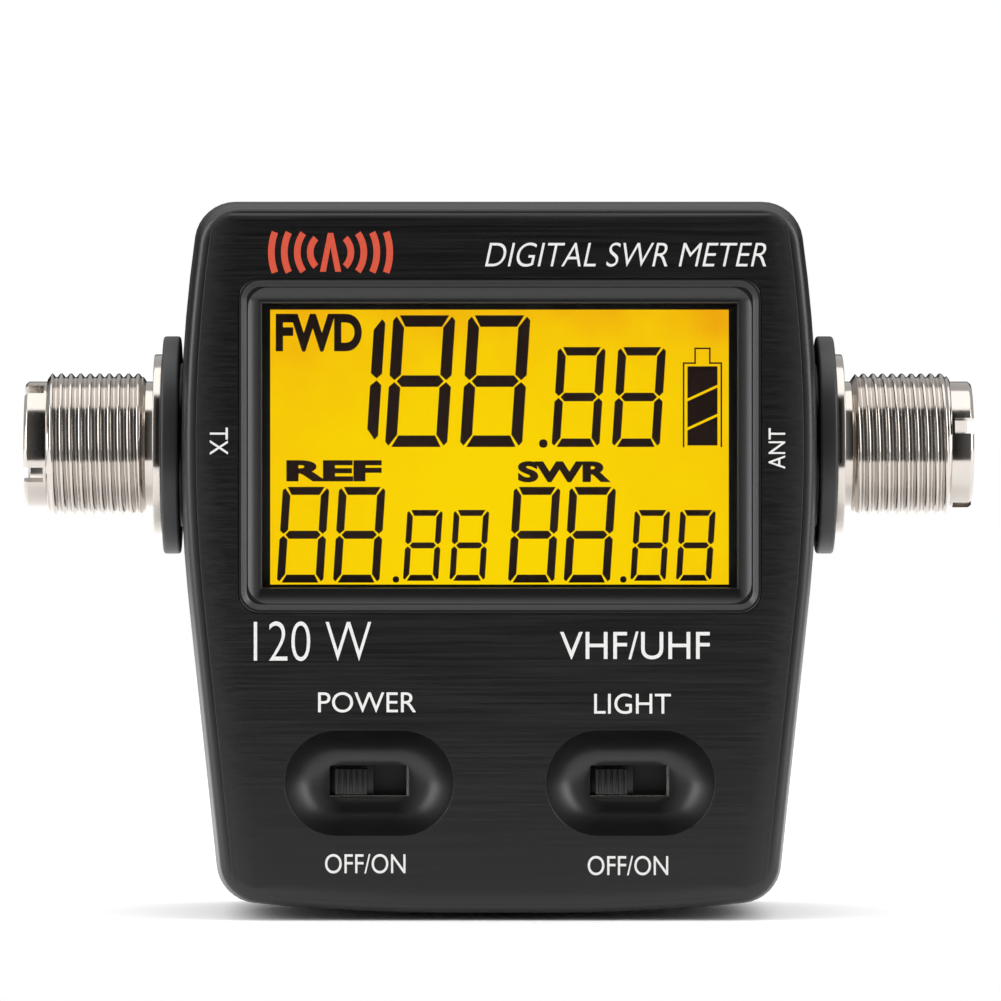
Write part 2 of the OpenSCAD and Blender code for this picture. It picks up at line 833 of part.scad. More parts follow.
module sense_parts() {
    part_y0 = sense_y + sense_t;
    // Each part as [x, z, width, thickness, height], with a twin on the other side.
    parts = [[14, 0, 3.2, 1.4, 2], [14, 3.6, 2, 0.7, 1.2], [8, -3.6, 2, 0.9, 1.2]];
    color("#4a4a50") for (side = [-1, 1]) for (part = parts)
        translate([side*part[0], part_y0, axis_z + part[1]])
            box(-part[2]/2, part[2]/2, 0, part[3], -part[4]/2, part[4]/2);
}

module sense_header() {
    color("#c9a94f") for (i = [0:header_pins - 1]) {
        x = (i - (header_pins - 1)/2)*header_pitch;
        box(x - header_pin_w/2, x + header_pin_w/2, board_back_y, sense_y,
            header_z - header_pin_w/2, header_z + header_pin_w/2);
    }
}

/* Battery */

module battery_door() {
    // The door turns on its rounded lower edge.
    color("#1c1c1d") translate([0, hinge_y, hinge_z]) rotate([-door_angle, 0, 0])
        translate([0, -hinge_y, -hinge_z]) {
            box(-door_w/2, door_w/2, door_seat_y, back_y, hinge_z, door_low_z + door_h);
            translate([0, hinge_y, hinge_z]) rod_x(-door_w/2, door_w/2, door_t/2);
            for (side = [-1, 1]) {
                box(side*hook_x - hook_w/2, side*hook_x + hook_w/2, hook_y, hinge_y,
                    arm_low_z, arm_high_z);
                box(side*hook_x - hook_w/2, side*hook_x + hook_w/2, hook_y, hook_y + hook_t,
                    door_low_z - hook_drop, arm_high_z);
            }
        }
}

// A cell that lies along X, with its button towards way.
module cell(z, x0, way) {
    button_l = 1;
    button_r = 1.9;
    body_l = cell_l - button_l;
    translate([x0 + cell_l/2, cell_y, z]) mirror([way < 0 ? 1 : 0, 0, 0]) {
        rod_x(-cell_l/2, -cell_l/2 + body_l, cell_r);
        rod_x(-cell_l/2 + body_l - sliver, cell_l/2, button_r);
    }
}

module spring(z, x0) {
    spring_r = 3.2;
    wire_t = 0.7;
    translate([0, cell_y, z]) difference() {
        rod_x(x0, x0 + spring_l, spring_r);
        rod_x(x0 - past, x0 + spring_l + past, spring_r - wire_t);
    }
}

module upper_cell() {
    color("#8a6f3a") cell(upper_cell_z, upper_cell_x, 1);
}

module lower_cell() {
    color("#8a6f3a") cell(lower_cell_z, lower_cell_x, -1);
}

module upper_spring() {
    color("#c4c4c0") spring(upper_cell_z, cell_x0);
}

module lower_spring() {
    color("#c4c4c0") spring(lower_cell_z, lower_cell_x + cell_l);
}

// A sheet against the bay's end wall, with a pip that meets the cell's button.
module end_sheet(side, z0, z1, pip_z) {
    x0 = side > 0 ? bay_w/2 - sheet_t : -bay_w/2;
    box(x0, x0 + sheet_t, bay_y + cell_gap, door_seat_y - bay_gap, z0, z1);
    if (pip_z > 0) translate([side > 0 ? x0 - button_gap : x0 + sheet_t, cell_y, pip_z])
        rod_x(0, button_gap, pip_r);
}

module bridge_contact() {
    color("#c4c4c0") end_sheet(-1, bay_z + bay_gap, bay_z + bay_h - bay_gap, lower_cell_z);
}

module positive_contact() {
    color("#c4c4c0") end_sheet(1, upper_cell_z - sheet_w/2, upper_cell_z + sheet_w/2, upper_cell_z);
}

module negative_contact() {
    color("#c4c4c0") end_sheet(1, lower_cell_z - sheet_w/2, lower_cell_z + sheet_w/2, 0);
}

// Leads run forward from the bay to the board, one beside the other.
module battery_lead(x) {
    rod_y(x, lead_z, board_back_y, bay_y + cell_gap, lead_r);
}

module red_lead() {
    color("#b3261e") battery_lead(red_lead_x);
}

module black_lead() {
    color("#161616") battery_lead(black_lead_x);
}

rear_shell();
front_shell();
fascia_plate();
display_window();
lcd_frame();
lcd_glass();
light_guide();
backlight_leds();
contact_strip();
main_board();
controller_chip();
crystal();
board_capacitors();
power_switch_body();
power_switch_frame();
power_slider();
light_switch_body();
light_switch_frame();
light_slider();
tx_socket_shell();
tx_insulator();
tx_contact();
tx_collar();
tx_washer();
tx_nut();
ant_socket_shell();
ant_insulator();
ant_contact();
ant_collar();
ant_washer();
ant_nut();
coupler_box();
coupler_lid();
line_rod();
sense_board();
sense_parts();
sense_header();
battery_door();
upper_cell();
lower_cell();
upper_spring();
lower_spring();
bridge_contact();
positive_contact();
negative_contact();
red_lead();
black_lead();
case_screws();
board_screws();
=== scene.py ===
import json
import math

import bpy
from mathutils import Matrix, Vector


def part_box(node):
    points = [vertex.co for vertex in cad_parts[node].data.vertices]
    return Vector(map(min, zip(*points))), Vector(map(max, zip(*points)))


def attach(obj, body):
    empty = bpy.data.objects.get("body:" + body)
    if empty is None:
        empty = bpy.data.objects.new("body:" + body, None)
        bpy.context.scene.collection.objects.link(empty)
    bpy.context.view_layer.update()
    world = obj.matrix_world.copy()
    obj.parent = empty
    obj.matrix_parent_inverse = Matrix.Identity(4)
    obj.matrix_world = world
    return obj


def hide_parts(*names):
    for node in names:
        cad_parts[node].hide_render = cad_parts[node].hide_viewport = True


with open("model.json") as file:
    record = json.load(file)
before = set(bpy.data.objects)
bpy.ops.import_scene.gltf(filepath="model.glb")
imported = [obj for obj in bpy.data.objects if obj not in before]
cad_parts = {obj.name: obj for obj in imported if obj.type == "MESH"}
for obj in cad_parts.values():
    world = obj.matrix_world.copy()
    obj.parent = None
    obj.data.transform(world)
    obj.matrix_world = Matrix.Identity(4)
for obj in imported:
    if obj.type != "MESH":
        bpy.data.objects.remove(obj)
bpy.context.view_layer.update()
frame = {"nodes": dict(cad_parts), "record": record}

MM = 0.001


def span(node):
    """Lowest and highest corner of a CAD node, in millimetres."""
    low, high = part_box(node)
    return low / MM, high / MM


# ---------------- sizes in millimetres

case_low, case_high = span("rear_shell")
front_y = span("front_shell")[0].y
back_y = case_high.y
case_top = case_high.z
plate_high = span("fascia_plate")[1]
face_y = plate_high.y
part_y = case_low.y
window_low, window_high = span("display_window")
lcd_y = span("lcd_glass")[0].y
door_low, door_high = span("battery_door")
socket_high = span("ant_socket_shell")[1]
collar_low, collar_high = span("ant_collar")
switch_frame_low, switch_frame_high = span("power_switch_frame")
screw_low, screw_high = span("case_screws")
sheet_low, sheet_high = span("bridge_contact")
display_z = (window_low.z + window_high.z) / 2
axis_z = (collar_low.z + collar_high.z) / 2

# Case outline: the sides are one long curve about the socket axis, straight below it
half_w = collar_low.x
side_r = 165
taper = math.radians(6)
foot_flat = 5
foot_r = 205
corner_r = 4.5
side_bulge = 1
front_round = 1.1
back_round = 2.6
wall = 2
seam = 0.15

# Places of the case screws on the right, upper and lower, and the towers and wells they stand in
screw_head_r, screw_head_t = 2.15, 1.7
upper_screw_in = 0.6
screw_places = [(screw_high.x - screw_head_r - upper_screw_in, screw_high.z - screw_head_r),
                (screw_high.x - screw_head_r, screw_low.z + screw_head_r)]
tower_r, well_r, hole_r = 3.3, 2.3, 1.4
screw_seat_y = screw_high.y - screw_head_t

# Battery bay, door and hooks
bay_gap, bay_wall = 0.6, 1.2
bay_low = Vector((sheet_low.x, sheet_low.y - 0.4, sheet_low.z - bay_gap))
bay_high = Vector((-sheet_low.x, back_y + 1, sheet_high.z + bay_gap))
hook_x, hook_w, hook_t, hook_drop, hook_gap = 15, 6, 1.2, 1.3, 0.3
door_t, door_gap, thumb_r = 1.6, 0.2, 4
door_foot = door_low.z + hook_drop
door_seat_y = back_y - door_t

# Front plate
plate_in = half_w - plate_high.x
plate_edge = 1.65
plate_corner = 2.5
plate_proud = 0.03

# Display surround and the opening inside it
surround_w, surround_h, surround_r = 56.5, 36.2, 2.2
opening_w, opening_h = 51.7, 31
slope_depth = 1.5
lit_left, lit_right = -24.9, 24.9
lit_low, lit_high = 36.3, 66.15

# Switches
switch_x = -(switch_frame_low.x + switch_frame_high.x) / 2
switch_z = (switch_frame_low.z + switch_frame_high.z) / 2
dish_w, dish_h, dish_depth = 18.3, 11.4, 3.2
slot_w, slot_h = 8.6, 3.55
dish_floor_y = face_y + dish_depth
knob_w, knob_h = 3.5, 2.8

# Sockets: the pad each stands on, the thread, and its end
pad_r, pad_t, barrel_hole_r = 9, 2.5, 7.2
thread_pitch = 25.4 / 24
thread_r = 7.9
thread_depth = 0.42
collar_r = collar_high.z - axis_z
flange_x = collar_high.x
tip_x = socket_high.x


# ---------------- modelling helpers


def deselect():
    bpy.ops.object.select_all(action="DESELECT")


def mode(kind):
    bpy.ops.object.mode_set(mode=kind)


def choose(piece):
    """Makes one piece the only selected and active one."""
    deselect()
    piece.select_set(True)
    bpy.context.view_layer.objects.active = piece


def named(name):
    piece = bpy.context.object
    piece.name = piece.data.name = name
    return piece


def close_up(piece, fill=True):
    """Merges the seam, fills open ends and turns every face outwards."""
    choose(piece)
    mode("EDIT")
    bpy.ops.mesh.select_all(action="SELECT")
    bpy.ops.mesh.remove_doubles(threshold=0.002 * MM)
    if fill:
        bpy.ops.mesh.fill_holes(sides=0)
    bpy.ops.mesh.select_all(action="SELECT")
    bpy.ops.mesh.normals_make_consistent(inside=False)
    mode("OBJECT")
    return piece


def wrapped(name, columns, rows, place, ring=False):
    """A grid wrapped round on itself: column i goes round, row j goes along, and a ring joins its ends."""
    deselect()
    bpy.ops.mesh.primitive_grid_add(x_subdivisions=columns, y_subdivisions=rows if ring else rows - 1)
    piece = named(name)
    for n, vertex in enumerate(piece.data.vertices):
        i, j = n % (columns + 1), n // (columns + 1)
        vertex.co = Vector(place(i % columns, j % rows)) * MM
    return close_up(piece, fill=not ring)


def layered(name, layers, ring=False):
    """A solid through outlines in X and Z, each as [depth, outline]; a ring joins its ends."""
    return wrapped(name, len(layers[0][1]), len(layers),
                   lambda i, j: (layers[j][1][i][0], layers[j][0], layers[j][1][i][1]), ring)


def box(name, low, high, bevel=0.0, segments=2):
    """A block between two corners, with every edge rounded."""
    deselect()
    low, high = Vector(low), Vector(high)
    bpy.ops.mesh.primitive_cube_add(size=1, location=(low + high) / 2 * MM, scale=(high - low) * MM)
    piece = named(name)
    bpy.ops.object.transform_apply()
    if bevel:
        mode("EDIT")
        bpy.ops.mesh.bevel(offset=bevel * MM, segments=segments, affect="EDGES")
        mode("OBJECT")
    return piece


def prism(name, points, y0, y1, bevel=0.0):
    """A flat shape in X and Z, drawn anticlockwise as seen from the front, with depth from y0 to y1."""
    deselect()
    bpy.ops.mesh.primitive_circle_add(vertices=len(points), fill_type="NGON")
    piece = named(name)
    for vertex, (x, z) in zip(piece.data.vertices, points):
        vertex.co = Vector((x, y0, z)) * MM
    mode("EDIT")
    bpy.ops.mesh.select_all(action="SELECT")
    bpy.ops.mesh.extrude_region_move(TRANSFORM_OT_translate={"value": (0, (y1 - y0) * MM, 0)})
    mode("OBJECT")
    close_up(piece)
    if bevel:
        finish_with(piece, "BEVEL", width=bevel * MM, segments=2, limit_method="ANGLE")
    return piece


def turned(name, profile, side=1, segments=96, ring=True):
    """A piece turned about the socket axis; the profile is [distance from the middle, radius], outwards."""

    def place(i, j):
        x, r = profile[j]
        a = math.tau * i / segments
        r = r(x, a) if callable(r) else r
        return side * x, r * math.cos(a), axis_z + r * math.sin(a)

    return wrapped(name, segments, len(profile), place, ring)


def rod(name, axis, centre, r, start, end, segments=48):
    """A round cutter or pin along X or Y through a centre given in the other two directions."""
    deselect()
    middle, turn = (start + end) / 2, math.pi / 2
    at = (middle, centre[0], centre[1]) if axis == "X" else (centre[0], middle, centre[1])
    bpy.ops.mesh.primitive_cylinder_add(
        vertices=segments, radius=r * MM, depth=(end - start) * MM, location=Vector(at) * MM,
        rotation=(0, turn, 0) if axis == "X" else (turn, 0, 0))
    piece = named(name)
    bpy.ops.object.transform_apply()
    return piece


def finish_with(piece, kind, **settings):
    choose(piece)
    modifier = piece.modifiers.new(kind.lower(), kind)
    for key, value in settings.items():
        setattr(modifier, key, value)
    bpy.ops.object.modifier_apply(modifier=modifier.name)
    return piece


def soften(piece, width, segments):
    """Breaks the sharp edges of a piece and leaves its gentle ones."""
    finish_with(piece, "BEVEL", width=width * MM, segments=segments, limit_method="ANGLE",
                angle_limit=math.radians(50))


def turn_to(piece, at, angle, axis):
    """Turns a piece made at the origin about an axis, then moves it to its place in metres."""
    piece.data.transform(Matrix.Translation(at) @ Matrix.Rotation(angle, 4, axis))
    return piece


def combine(piece, others, way="DIFFERENCE"):
    """Cuts the others out of the piece, or fuses them to it, and throws them away."""
    for other in others:
        finish_with(piece, "BOOLEAN", object=other, operation=way, solver="EXACT")
        bpy.data.objects.remove(other)
    return piece


def joined(name, parts):
    """Several separate solids as one piece."""
    deselect()
    for part in parts:
        part.select_set(True)
    bpy.context.view_layer.objects.active = parts[0]
    bpy.ops.object.join()
    return named(name)


def smooth(piece, angle=32):
    choose(piece)
    bpy.ops.object.shade_smooth_by_angle(angle=math.radians(angle))
    return piece


def finished(piece, material, body="meter", stands_for=()):
    """Gives a piece its material and its body, and hides the nodes it stands for."""
    piece.data.materials.clear()
    piece.data.materials.append(material)
    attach(piece, body)
    if stands_for:
        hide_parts(*stands_for)
    return piece


# ---------------- outlines


def centre(low, high):
    return (low + high) / 2


def side_x(z):
    """Half width of the case at a height, on the middle of its depth."""
    low = axis_z - side_r * math.sin(taper)
    on_curve = max(z, low)
    x = half_w - side_r + math.sqrt(side_r**2 - (on_curve - axis_z) ** 2)
    return x - (on_curve - z) * math.tan(taper)


def side_angle(z):
    return max(math.asin((z - axis_z) / side_r), -taper)


def foot_z(x, r=foot_r):
    return foot_r - math.sqrt(r**2 - max(x - foot_flat, 0) ** 2)


def case_outline(side_in=0, edge_in=0, r=corner_r):
    """The case seen from the front, anticlockwise, drawn in by two insets, with rounded corners."""
    steps_foot, steps_corner, steps_side = 8, 8, 16
    low_z = r + edge_in
    for _ in range(20):
        a = side_angle(low_z)
        corner = Vector((side_x(low_z) - side_in - r * math.cos(a), low_z - r * math.sin(a)))
        low_z += foot_z(corner.x, foot_r - r) + edge_in - corner.y
    high_z = case_top - edge_in - r
    for _ in range(20):
        b = side_angle(high_z)
        top = Vector((side_x(high_z) - side_in - r * math.cos(b), high_z - r * math.sin(b)))
        high_z += case_top - edge_in - r - top.y
    foot_a = -math.pi / 2 + math.asin(max(corner.x - foot_flat, 0) / (foot_r - r))
    right = []
    for i in range(steps_foot):
        x = (corner.x + r * math.cos(foot_a)) * i / steps_foot
        right.append((x, foot_z(x) + edge_in))
    for i in range(steps_corner):
        t = foot_a + (a - foot_a) * i / steps_corner
        right.append((corner.x + r * math.cos(t), corner.y + r * math.sin(t)))
    for i in range(steps_side):
        z = low_z + (high_z - low_z) * i / steps_side
        right.append((side_x(z) - side_in, z))
    for i in range(steps_corner + 1):
        t = b + (math.pi / 2 - b) * i / steps_corner
        right.append((top.x + r * math.cos(t), top.y + r * math.sin(t)))
    for i in range(1, steps_foot + 1):
        right.append((top.x * (1 - i / steps_foot), case_top - edge_in))
    left = [(-x, z) for x, z in reversed(right[1:-1])]
    return right + left


def bulge(y):
    return side_bulge * (y / back_y) ** 2


def case_block(name, layers, thickness=0.0):
    """A solid through case outlines, one for each [depth, extra inset]."""
    rings = []
    for y, inset in layers:
        side = bulge(y) + inset + thickness
        rings.append((y, case_outline(side, side, max(corner_r - inset - thickness, 0.8))))
    return layered(name, rings)


def rounding(edge_y, way, r, steps=8):
    turns = [math.pi / 2 * k / steps for k in range(steps + 1)]
    return [(edge_y - way * r * (1 - math.sin(a)), r * (1 - math.cos(a))) for a in turns]


def rectangle(w, h, r, x=0.0, z=0.0, steps=8):
    """A rounded rectangle, anticlockwise."""
    points = []
    for k, (sx, sz) in enumerate([(1, 1), (-1, 1), (-1, -1), (1, -1)]):
        for i in range(steps + 1):
            a = math.pi / 2 * (k + i / steps)
            points.append((x + sx * (w / 2 - r) + r * math.cos(a), z + sz * (h / 2 - r) + r * math.sin(a)))
    return points


def stadium(w, h, x=0.0, z=0.0, steps=24):
    return rectangle(w, h, h / 2 - 0.001, x, z, steps)


# ---------------- material helpers


def srgb(code):
    """An sRGB hex colour as linear RGBA."""
    channels = [int(code[i:i + 2], 16) / 255 for i in (1, 3, 5)]
    return [c / 12.92 if c <= 0.04045 else ((c + 0.055) / 1.055) ** 2.4 for c in channels] + [1]


def add(tree, kind, settings, links=None):
    """Adds a node, sets its options and inputs, and links its inputs to other nodes' outputs."""
    node = tree.nodes.new(kind)
    for key, value in settings.items():
        if isinstance(key, int) or key in node.inputs:
            node.inputs[key].default_value = value
        else:
            setattr(node, key, value)
    for key, source in (links or {}).items():
        tree.links.new(source, node.inputs[key])
    return node


def material(name):
    """An empty material and its node tree, with the object's own coordinates."""
    made = bpy.data.materials.new(name)
    made.use_nodes = True
    made.node_tree.nodes.clear()
    tree = made.node_tree
    place = add(tree, "ShaderNodeTexCoord", {}).outputs["Object"]
    return made, tree, place


def show(tree, shader):
    add(tree, "ShaderNodeOutputMaterial", {}, {"Surface": shader.outputs[0]})


def per(size_mm):
    """A texture scale that repeats about once in a length given in millimetres."""
    return 1 / (size_mm * MM)


def noise(tree, size_mm, detail, at):
    made = add(tree, "ShaderNodeTexNoise", {"Scale": per(size_mm), "Detail": detail}, {"Vector": at})
    return made.outputs["Fac"]


def blend(tree, first, second, by):
    """Two hex colours mixed by a value."""
    made = add(tree, "ShaderNodeMix", {"data_type": "RGBA", 6: srgb(first), 7: srgb(second)}, {0: by})
    return made.outputs[2]


def spread_over(tree, low, high, by):
    """A value that runs from low to high as another goes from 0 to 1."""
    return add(tree, "ShaderNodeMapRange", {3: low, 4: high}, {0: by}).outputs[0]


def rise(tree, start, end, by):
    """A value that goes from 0 to 1 while another goes from start to end."""
    return add(tree, "ShaderNodeMapRange", {1: start, 2: end}, {0: by}).outputs[0]


def maths(tree, operation, first, second):
    return add(tree, "ShaderNodeMath", {"operation": operation}, {0: first, 1: second}).outputs[0]


def skin(tree, settings, shade, gloss, relief, strength, depth_mm):
    """The surface itself, with its colour and gloss, raised by a pattern."""
    bump = add(tree, "ShaderNodeBump", {"Strength": strength, "Distance": depth_mm * MM},
               {"Height": relief})
    show(tree, add(tree, "ShaderNodeBsdfPrincipled", settings, {
        "Base Color": shade, "Roughness": gloss, "Normal": bump.outputs[0]}))


def moulded(name, colour, worn, roughness, grain_mm=0.25, depth_mm=0.004, spread=0.06, **more):
    """Injection-moulded plastic: fine even grain from the mould, and slightly uneven gloss and shade."""
    made, tree, place = material(name)
    grain = noise(tree, grain_mm, 3, place)
    cloud = noise(tree, 9, 4, place)
    shade = blend(tree, colour, worn, cloud)
    gloss = spread_over(tree, roughness - spread, roughness + spread, cloud)
    skin(tree, {"IOR": 1.53, **more}, shade, gloss, grain, 0.6, depth_mm)
    return made


def metal(name, colour, dull, roughness, mark_mm=0.6, stretch=(1, 1, 1), spread=0.06, depth_mm=0.002):
    """Bare or plated metal: small changes of colour and gloss, and marks stretched along the working."""
    made, tree, place = material(name)
    along = add(tree, "ShaderNodeMapping", {"Scale": stretch}, {"Vector": place})
    marks = noise(tree, mark_mm, 5, along.outputs[0])
    cloud = noise(tree, 4, 3, place)
    shade = blend(tree, colour, dull, cloud)
    gloss = spread_over(tree, roughness - spread, roughness + spread, marks)
    skin(tree, {"Metallic": 1}, shade, gloss, marks, 0.5, depth_mm)
    return made


def brushed_plate():
    """Black anodised aluminium, brushed across: fine hairlines that catch the light."""
    made, tree, place = material("brushed_black_anodised_aluminium")
    along = add(tree, "ShaderNodeMapping", {"Scale": (0.012, 1, 1)}, {"Vector": place})
    # Real brush lines are about 0.05 mm apart; they are drawn at 0.12 mm so that they still show.
    hair = add(tree, "ShaderNodeTexNoise", {"Scale": per(0.12), "Detail": 4, "Roughness": 0.7},
               {"Vector": along.outputs[0]})
    broad = noise(tree, 0.3, 3, along.outputs[0])
    both = maths(tree, "MULTIPLY", hair.outputs["Fac"], broad)
    level = rise(tree, 0.16, 0.36, both)
    shade = blend(tree, "#09090a", "#141415", level)
    gloss = spread_over(tree, 0.29, 0.41, level)
    # The quarter turn spreads the sheen up and down, across the hairlines
    sheen = {"Metallic": 0.15, "IOR": 1.55, "Anisotropic": 0.7, "Anisotropic Rotation": 0.25}
    skin(tree, sheen, shade, gloss, hair.outputs["Fac"], 0.35, 0.004)
    return made


def lit_cell():
    """The liquid-crystal cell over its lamps: even yellow, warmer towards the top and the corners."""
    made, tree, place = material("backlit_yellow_lcd")
    size = Vector((lit_right - lit_left, 1000, lit_high - lit_low)) * MM
    middle = Vector(((lit_left + lit_right) / 2, 0, (lit_low + lit_high) / 2)) * MM
    centred = add(tree, "ShaderNodeMapping", {
        "Location": Vector([-m * 2 / s for m, s in zip(middle, size)]),
        "Scale": Vector([2 / s for s in size])}, {"Vector": place})
    axes = add(tree, "ShaderNodeSeparateXYZ", {}, {0: centred.outputs[0]})
    across = add(tree, "ShaderNodeMath", {"operation": "POWER", 1: 2.0}, {0: axes.outputs["X"]})
    up = add(tree, "ShaderNodeMath", {"operation": "MULTIPLY_ADD", 1: 0.5, 2: 0.5}, {0: axes.outputs["Z"]})
    high = add(tree, "ShaderNodeMath", {"operation": "POWER", 1: 4.0}, {0: up.outputs[0]})
    corner = add(tree, "ShaderNodeMath", {"operation": "MULTIPLY_ADD", 1: 0.45},
                 {0: across.outputs[0], 2: high.outputs[0]})
    cloud = noise(tree, 6, 3, place)
    mixed = maths(tree, "MULTIPLY", corner.outputs[0], cloud)
    shade = add(tree, "ShaderNodeValToRGB", {}, {"Fac": mixed})
    middle_stop, corner_stop = shade.color_ramp.elements
    middle_stop.color, corner_stop.color = srgb("#f9d304"), srgb("#ec9f10")
    # It only glows: the window in front of it carries the reflections
    glow = {"Emission Strength": 1.13, "Roughness": 0.4, "Base Color": srgb("#000000"),
            "Specular IOR Level": 0.0}
    show(tree, add(tree, "ShaderNodeBsdfPrincipled", glow, {"Emission Color": shade.outputs[0]}))
    return made


def printed(name, colour, thin):
    """Screen-printed ink: a dense even film, a little thinner here and there."""
    made, tree, place = material(name)
    speck = noise(tree, 0.3, 2, place)
    shade = blend(tree, colour, thin, speck)
    show(tree, add(tree, "ShaderNodeBsdfPrincipled", {"Roughness": 0.5, "IOR": 1.5},
                   {"Base Color": shade}))
    return made


def clear_acrylic():
    """Clear cast acrylic with the faintest haze of wiping marks."""
    made, tree, place = material("clear_acrylic_window")
    wipe = noise(tree, 3, 4, place)
    gloss = spread_over(tree, 0.0, 0.03, wipe)
    show(tree, add(tree, "ShaderNodeBsdfPrincipled", {"IOR": 1.49, "Transmission Weight": 1.0,
                                                      "Base Color": srgb("#fbfcfa")},
                   {"Roughness": gloss}))
    return made


# Dark plate with fine level hairlines and a soft sheen that brightens towards its rolled edges
BRUSHED = brushed_plate()
# Soft black with a wide, faint shine and a fine grain
CASE = moulded("moulded_satin_black_abs", "#0b0b0c", "#101011", 0.36, grain_mm=0.3, depth_mm=0.006)
# Deep black with clear soft highlights in the bowls and on the surround
SATIN = moulded("polished_mould_black_abs", "#09090a", "#0d0d0e", 0.31, grain_mm=0.8, depth_mm=0.001,
                spread=0.03)
# Dull black that shows the ribs by their lit edges
KNOB = moulded("moulded_black_acetal", "#111112", "#181819", 0.36, grain_mm=0.2)
# Slightly greyer black than the case, so the ring stands out from it
COLLAR = moulded("moulded_black_nylon_spacer", "#1d1d1e", "#252526", 0.46, grain_mm=0.3)
# Flat black round the lit cell, with hardly any shine
BLACK_MASK = moulded("black_printed_display_mask", "#050505", "#080808", 0.55, grain_mm=0.3)
# Warm bright metal with crisp bands along the thread
NICKEL = metal("nickel_plated_brass", "#c9c3bd", "#b8b1aa", 0.13, mark_mm=0.5, spread=0.05)
# Cool grey metal with a duller shine
ZINC = metal("zinc_plated_steel", "#bfc2c4", "#a5a8aa", 0.3, mark_mm=0.3)
# Bright thin sheet with rolling marks
SHEET = metal("tinned_steel_sheet", "#d8d6cf", "#b9b6ab", 0.22, mark_mm=0.4, stretch=(1, 1, 6))
# Yellow metal that glows down in the white bore
GOLD = metal("gold_plated_contact", "#e0b45c", "#c99a45", 0.22, mark_mm=0.4)
# Duller yellow sheet with long rolling marks
BRASS = metal("rolled_brass_sheet", "#c9a95e", "#a98a48", 0.3, mark_mm=0.5, stretch=(0.1, 1, 1))
# Waxy white that lets a little light in
PTFE = moulded("turned_white_ptfe", "#efece2", "#e6e2d5", 0.5, grain_mm=0.2,
               **{"Subsurface Weight": 0.1, "Subsurface Scale": 0.001})
# Clean white and orange print, flat against the brushed plate
WHITE_INK = printed("white_screen_print_ink", "#dededc", "#c6c6c4")
ORANGE_INK = printed("orange_screen_print_ink", "#cf4728", "#b93f24")
# Near-black brown bars that stand dark on the yellow light
SEGMENT = printed("dark_liquid_crystal_segment", "#210806", "#3a1208")
# The glowing yellow of the display
CELL_LIT = lit_cell()
# Clear sheet seen only by its reflections
ACRYLIC = clear_acrylic()
# Glossy green board
BOARD = moulded("green_soldermask_board", "#17522f", "#1d6238", 0.32, grain_mm=1.2, spread=0.08)
# Matt charcoal block
CHIP = moulded("moulded_epoxy_chip", "#1c1c1f", "#26262a", 0.5, grain_mm=0.15)
# Matt tan block
CERAMIC = moulded("fired_ceramic_block", "#8f7a58", "#a38d69", 0.45, grain_mm=0.2)
# Very dark base inside the switch window
PHENOLIC = moulded("black_phenolic_base", "#080808", "#0d0d0e", 0.6, grain_mm=0.5)
# Milky white block that spreads the light
DIFFUSER = moulded("milky_acrylic_light_guide", "#f2f2ea", "#e6e5d6", 0.4, grain_mm=0.8)
# Yellow phosphor block
LED = moulded("yellow_phosphor_led", "#ffe36e", "#f3cf4a", 0.4, grain_mm=0.3)
# Soft pink strip without shine
RUBBER = moulded("pink_conductive_rubber", "#d98a8f", "#c4767c", 0.6, grain_mm=0.3)
# Glossy red and black wire skins
RED_WIRE = moulded("red_pvc_insulation", "#b3201c", "#8f1714", 0.4, grain_mm=0.3)
BLACK_WIRE = moulded("black_pvc_insulation", "#151515", "#1e1e1e", 0.4, grain_mm=0.3)


def cell_jacket():
    """Printed foil jacket of a cell: black round its middle, with a copper band at each end."""
    made, tree, place = material("printed_foil_cell_jacket")
    speck = noise(tree, 0.5, 3, place)
    axes = add(tree, "ShaderNodeSeparateXYZ", {}, {0: place})
    past = add(tree, "ShaderNodeMath", {"operation": "ABSOLUTE"}, {0: axes.outputs["X"]})
    band = add(tree, "ShaderNodeMath", {"operation": "GREATER_THAN", 1: 11 * MM}, {0: past.outputs[0]})
    shade = blend(tree, "#1a1b1f", "#b8743a", band.outputs[0])
    gloss = spread_over(tree, 0.2, 0.34, speck)
    show(tree, add(tree, "ShaderNodeBsdfPrincipled", {"Metallic": 0.5}, {
        "Base Color": shade, "Roughness": gloss}))
    return made


JACKET = cell_jacket()

# ---------------- finishes of the CAD nodes that stay

SLOT_FINISH = {
    "black_case": CASE, "front_plate": BRUSHED, "clear_window": ACRYLIC, "lcd_cell": BLACK_MASK,
    "frame_black": BLACK_MASK, "light_guide": DIFFUSER, "led": LED, "contact_rubber": RUBBER,
    "board": BOARD, "chip": CHIP, "tin_can": SHEET, "ceramic": CERAMIC, "phenolic": PHENOLIC,
    "switch_metal": SHEET, "knob": KNOB, "nickel": NICKEL, "ptfe": PTFE, "gold_contact": GOLD,
    "collar_black": COLLAR, "steel": ZINC, "brass_sheet": BRASS, "cell_jacket": JACKET,
    "red_wire": RED_WIRE, "black_wire": BLACK_WIRE,
}


for part in frame["record"]["subparts"]:
    node = frame["nodes"][part["node"]]
    node.data.materials.clear()
    node.data.materials.append(SLOT_FINISH[part["material_slot"]])

# ---------------- case


